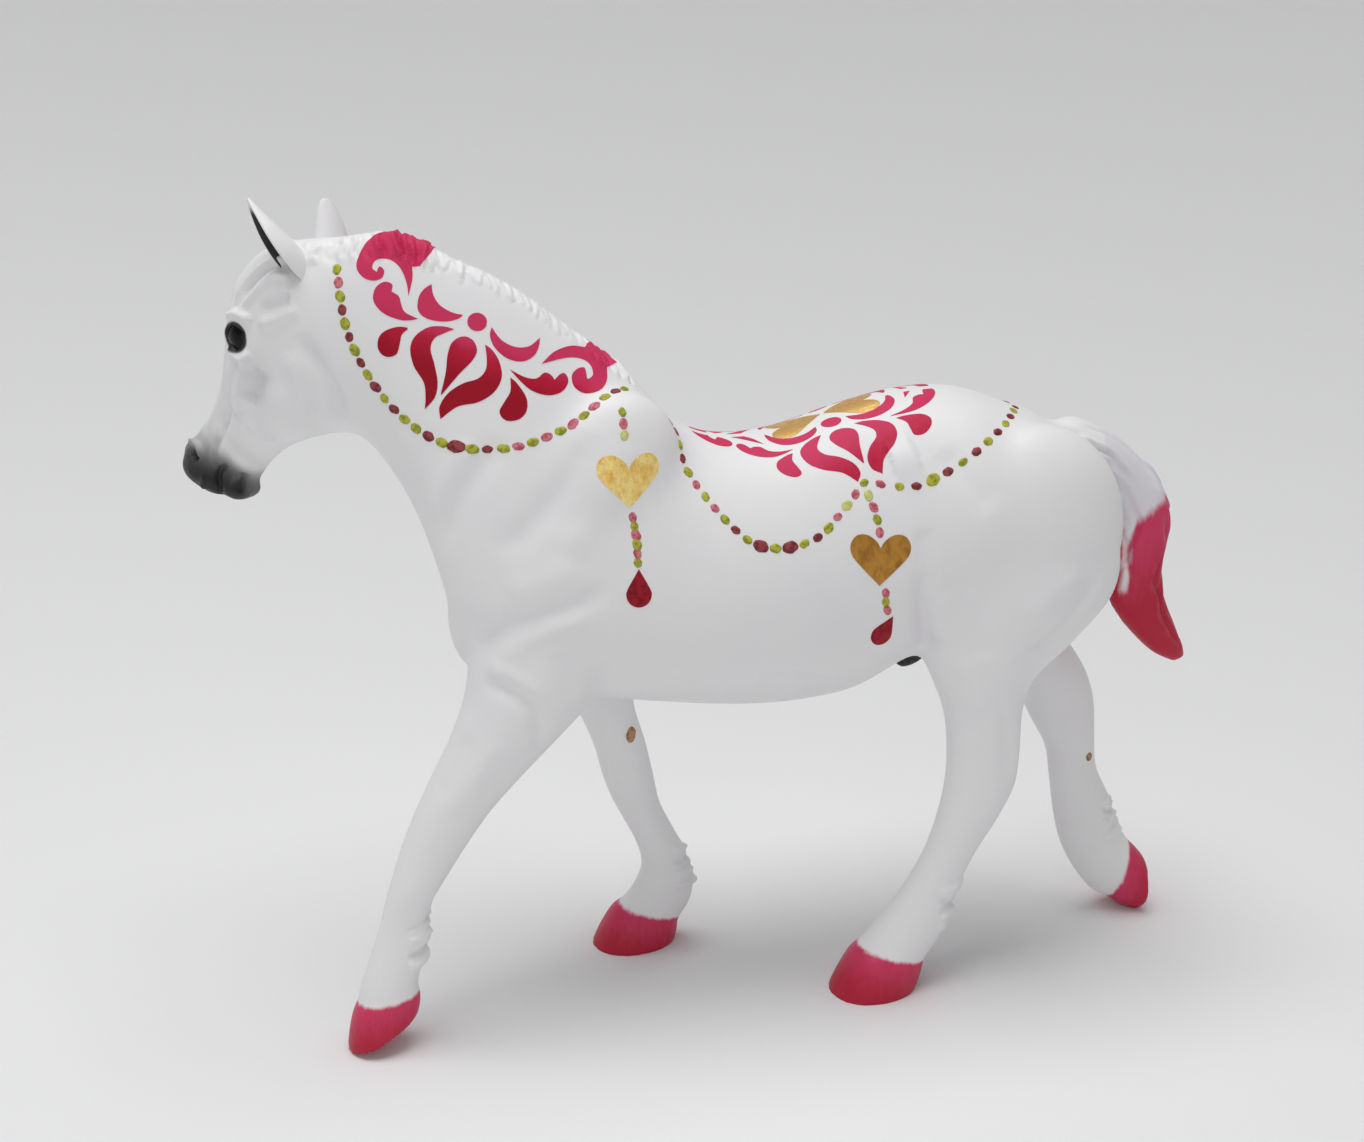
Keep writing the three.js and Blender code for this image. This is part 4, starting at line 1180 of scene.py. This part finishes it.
pieces = {name: take_off(k, name) for k, name in enumerate(PARTS)}
for name, piece in pieces.items():
    piece.data.calc_loop_triangles()
    print(name, len(piece.data.loop_triangles), "triangles")
bpy.data.objects.remove(skin)

# %% [markdown]
# # Writing shaders as sums
# A finish is mixed from numbers that change over the surface. The class below lets them be written
# as ordinary sums: every operator adds its Math node.


# %% Wires and finishes
class Wire:
    """A value in a shader."""

    def __init__(self, finish, socket):
        self.finish, self.socket = finish, socket

    def sum(self, operation, a, b):
        return self.finish.node("ShaderNodeMath", {"operation": operation}, {0: a, 1: b})

    def __add__(self, other):
        return self.sum("ADD", self, other)

    def __radd__(self, other):
        return self.sum("ADD", other, self)

    def __sub__(self, other):
        return self.sum("SUBTRACT", self, other)

    def __rsub__(self, other):
        return self.sum("SUBTRACT", other, self)

    def __mul__(self, other):
        return self.sum("MULTIPLY", self, other)

    def __rmul__(self, other):
        return self.sum("MULTIPLY", other, self)


class Finish:
    """A material: its constants, then what varies, fed by nodes."""

    def __init__(self, name, **constants):
        self.material = bpy.data.materials.new(name)
        self.material.use_nodes = True
        self.tree = self.material.node_tree
        self.shader = self.tree.nodes["Principled BSDF"]
        for key, value in constants.items():
            self.shader.inputs[key.replace("_", " ")].default_value = value

    def node(self, kind, settings=None, values=None, out=0):
        made = self.tree.nodes.new(kind)
        for key, value in (settings or {}).items():
            setattr(made, key, value)
        for key, value in (values or {}).items():
            if isinstance(value, Wire):
                self.tree.links.new(value.socket, made.inputs[key])
            else:
                made.inputs[key].default_value = value
        return Wire(self, made.outputs[out])

    def feed(self, key, wire):
        self.tree.links.new(wire.socket, self.shader.inputs[key])

    def place(self):
        return self.node("ShaderNodeTexCoord", out=3)

    def value(self, name):
        return self.node("ShaderNodeAttribute", {"attribute_name": name}, out=2)

    def noise(self, scale, detail=3.0, rough=0.5, stretch=(1, 1, 1)):
        where = self.node("ShaderNodeMapping", values={"Vector": self.place(), "Scale": stretch})
        return self.node("ShaderNodeTexNoise", values={"Vector": where, "Scale": scale, "Detail": detail,
                                                       "Roughness": rough})

    def between(self, wire, low, high, to_low=0.0, to_high=1.0):
        return self.node("ShaderNodeMapRange", {"interpolation_type": "SMOOTHSTEP"},
                         {"Value": wire, "From Min": low, "From Max": high, "To Min": to_low,
                          "To Max": to_high})

    def blend(self, factor, first, second):
        mix = self.tree.nodes.new("ShaderNodeMix")
        mix.data_type = "RGBA"
        for key, value in ((0, factor), (6, first), (7, second)):
            if isinstance(value, Wire):
                self.tree.links.new(value.socket, mix.inputs[key])
            else:
                mix.inputs[key].default_value = value
        return Wire(self, mix.outputs[2])

    def bump(self, height, strength, distance):
        self.feed("Normal", self.node("ShaderNodeBump", values={"Height": height, "Strength": strength,
                                                                "Distance": distance}))


WHITE = (0.80, 0.795, 0.80, 1)
LILAC = (0.60, 0.53, 0.64, 1)
ROSE = (0.60, 0.038, 0.115, 1)
RED = (0.46, 0.010, 0.036, 1)
DEEP = (0.33, 0.005, 0.018, 1)
SOOT_AND_SHADE = (0.018, 0.017, 0.018, 1)


def horse_white(name, pink=True, soot_and_shade=True):
    """Satin white, lilac painted shade in the hollows, brushed pink and near black where the values say so.
    """
    finish = Finish(name, Roughness=0.43, Specular_IOR_Level=0.28)
    brushed = finish.noise(900, 4, 0.6, (1, 1, 0.35))
    cloud = finish.noise(60, 2, 0.5)
    # lilac painted shade from the hollow values, plus a faint random lilac cloud in the paint itself
    tint = finish.value("hollow") * 0.75 + finish.between(cloud, 0.45, 0.8, 0.0, 0.10)
    colour = finish.blend(tint, WHITE, LILAC)
    if pink:
        value = finish.value("pink")
        mask = finish.between(value + (brushed - 0.5) * 0.55, 0.25, 0.75)
        depth = finish.value("depth")
        red = finish.blend(finish.between(depth + (brushed - 0.5) * 0.6, 0.0, 0.9), ROSE, RED)
        colour = finish.blend(mask, colour, red)
    if soot_and_shade:
        # near black of muzzle, eye and ear, which also carries the soft grey painted shade on the cheek
        value = finish.value("soot_and_shade")
        mask = finish.between(value + (brushed - 0.5) * 0.10, 0.0, 1.0)
        colour = finish.blend(mask, colour, SOOT_AND_SHADE)
    finish.feed("Base Color", colour)
    finish.feed("Roughness", finish.between(finish.noise(700, 3), 0.3, 0.7, 0.38, 0.48))
    finish.bump(finish.noise(1500, 2), 0.10, 0.00015)
    return finish.material


def painted_red(name):
    finish = Finish(name, Roughness=0.5, Specular_IOR_Level=0.12)
    depth = finish.value("depth")
    streaks = finish.noise(500, 3, 0.6, (1, 1, 0.6))
    tone = finish.between(depth + (streaks - 0.5) * 0.25, 0.0, 1.0)
    upper = finish.blend(finish.between(tone, 0.0, 0.5), ROSE, RED)
    finish.feed("Base Color", finish.blend(finish.between(tone, 0.5, 1.0), upper, DEEP))
    return finish.material


def plain_paint(name, colour, dark, roughness=0.4):
    finish = Finish(name, Roughness=roughness, Specular_IOR_Level=0.2)
    spots = finish.between(finish.noise(1100, 2), 0.42, 0.62)
    finish.feed("Base Color", finish.blend(spots, colour, dark))
    return finish.material


def gold(name, bright, dark, crinkle, metal):
    finish = Finish(name, Metallic=metal, Roughness=0.3)
    folds = finish.noise(650, 4, 0.65, (1, 1, 0.6))
    finish.feed("Base Color", finish.blend(finish.between(folds, 0.35, 0.7), bright, dark))
    finish.feed("Roughness", finish.between(folds, 0.3, 0.7, 0.26, 0.46))
    finish.bump(folds, crinkle, 0.0012)
    return finish.material


# %% Give every piece its finish
SLOTS = {"left_body_shell": "body_paint", "right_body_shell": "body_paint", "left_foreleg": "leg_paint",
         "right_foreleg": "leg_paint", "left_hindleg": "leg_paint", "right_hindleg": "leg_paint",
         "tail": "tail_paint", "left_ear": "ear_paint", "right_ear": "ear_paint"}
finishes = {"body_paint": horse_white("satin_white_body"),
            "leg_paint": horse_white("satin_white_legs", soot_and_shade=False),
            "tail_paint": horse_white("satin_white_tail", soot_and_shade=False),
            "ear_paint": horse_white("satin_white_ears", pink=False)}
pieces["left_ear"], pieces["right_ear"] = left_ear, right_ear


def dress(obj, material):
    obj.data.materials.clear()
    obj.data.materials.append(material)
    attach(obj, "root")


for name, piece in pieces.items():
    dress(piece, finishes[SLOTS[name]])
    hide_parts(name)
for film in (neck_ornament, back_ornament, drops, leaf_front, leaf_rear, leaf_back):
    activate(film)
    bpy.ops.object.shade_smooth_by_angle(angle=math.radians(40))
dress(neck_ornament, painted_red("ornament_red"))
dress(back_ornament, neck_ornament.data.materials[0])
dress(drops, plain_paint("drop_red", DEEP, (0.20, 0.003, 0.010, 1)))
dress(leaf_front, gold("gold_leaf_bright", (1.0, 0.80, 0.30, 1), (0.86, 0.50, 0.10, 1), 0.55, 0.55))
# painted reflection: every heart is the same gold leaf; the rear hearts get a dark brown and the back hearts
# a dimmer gold, standing in for the darker surroundings they reflect, while their smoother crinkle is their
# own
dress(leaf_rear, gold("gold_leaf_smooth_painted_reflection", (0.56, 0.27, 0.045, 1), (0.34, 0.15, 0.022, 1), 0.12, 0.7))
dress(leaf_back, gold("gold_leaf_back", (0.80, 0.50, 0.17, 1), (0.62, 0.34, 0.09, 1), 0.12, 0.5))
BEAD_PAINT = {"o": ((0.44, 0.44, 0.05, 1), (0.24, 0.26, 0.02, 1)),
              "g": ((0.62, 0.62, 0.24, 1), (0.50, 0.50, 0.14, 1)),
              "b": ((0.30, 0.055, 0.06, 1), (0.15, 0.022, 0.025, 1)),
              "r": ((0.62, 0.20, 0.24, 1), (0.45, 0.07, 0.10, 1))}
for letter, obj in beads.items():
    dress(obj, plain_paint(BEAD_NAMES[letter] + "_paint", *BEAD_PAINT[letter]))
dress(chestnuts, plain_paint("chestnut_brown", (0.46, 0.26, 0.13, 1), (0.27, 0.13, 0.055, 1), 0.5))
dress(sheath, plain_paint("dark_grey", (0.05, 0.05, 0.052, 1), (0.03, 0.03, 0.03, 1), 0.5))
dress(eyes, plain_paint("eye_black", (0.006, 0.006, 0.006, 1), (0.004, 0.004, 0.004, 1), 0.18))

# %% [markdown]
# # Studio
# The horse stands on pale paper under a large soft lamp, with a weaker one in front, so the
# shadows under the body stay light and the white keeps its shape.

# %% Floor, camera and lamps
# flat middle, radius of the rising edge, radius of the paper (metres)
FLAT, COVE, REACH = 0.22, 1.0, 1.2
deselect()
bpy.ops.mesh.primitive_grid_add(x_subdivisions=96, y_subdivisions=50)
floor = bpy.context.object
floor.name = "floor"
far, turn = np.meshgrid(np.linspace(0, REACH, 51), np.linspace(0, 2 * np.pi, 97), indexing="ij")
rise = COVE - np.sqrt(COVE ** 2 - np.clip(far - FLAT, 0, COVE) ** 2)
set_points(floor, np.stack([far * np.cos(turn), far * np.sin(turn), rise], axis=2).reshape(-1, 3) / MM)
edit_all()
bpy.ops.mesh.remove_doubles(threshold=1e-6)
bpy.ops.mesh.normals_make_consistent(inside=True)
bpy.ops.object.mode_set(mode="OBJECT")
bpy.ops.object.shade_smooth()
paper = Finish("paper", Roughness=0.85)
paper.shader.inputs["Base Color"].default_value = (0.84, 0.84, 0.845, 1)
floor.data.materials.append(paper.material)
bpy.context.scene.view_settings.view_transform = "Standard"
AZ, EL, DIST = math.radians(-12), math.radians(16), 0.379
target = Vector((SHIFT[0] * MM, (7.6 + SHIFT[1]) * MM, 84 * MM))
back = Vector((math.sin(AZ) * math.cos(EL), -math.cos(AZ) * math.cos(EL), math.sin(EL)))
bpy.ops.object.camera_add(location=target + back * DIST)
camera = bpy.context.object
camera.rotation_euler = (-back).to_track_quat("-Z", "Y").to_euler()
camera.data.lens = 50
camera.data.sensor_width = 36
bpy.context.scene.camera = camera


def area(name, place, size, power, colour=(1, 1, 1)):
    bpy.ops.object.light_add(type="AREA", location=place)
    lamp = bpy.context.object
    lamp.name = name
    lamp.data.size = size
    lamp.data.energy = power
    lamp.data.color = colour
    lamp.rotation_euler = (target - Vector(place)).to_track_quat("-Z", "Y").to_euler()


area("softbox", (-0.1, -0.02, 0.95), 0.7, 6.6)
area("front_fill", (-0.25, -0.8, 0.55), 0.5, 0.7)
if not bpy.context.scene.world:
    bpy.context.scene.world = bpy.data.worlds.new("room")
room = bpy.context.scene.world
room.use_nodes = True
room.node_tree.nodes["Background"].inputs[0].default_value = (0.86, 0.87, 0.88, 1)
room.node_tree.nodes["Background"].inputs[1].default_value = 0.2

low, high = cad_bounds
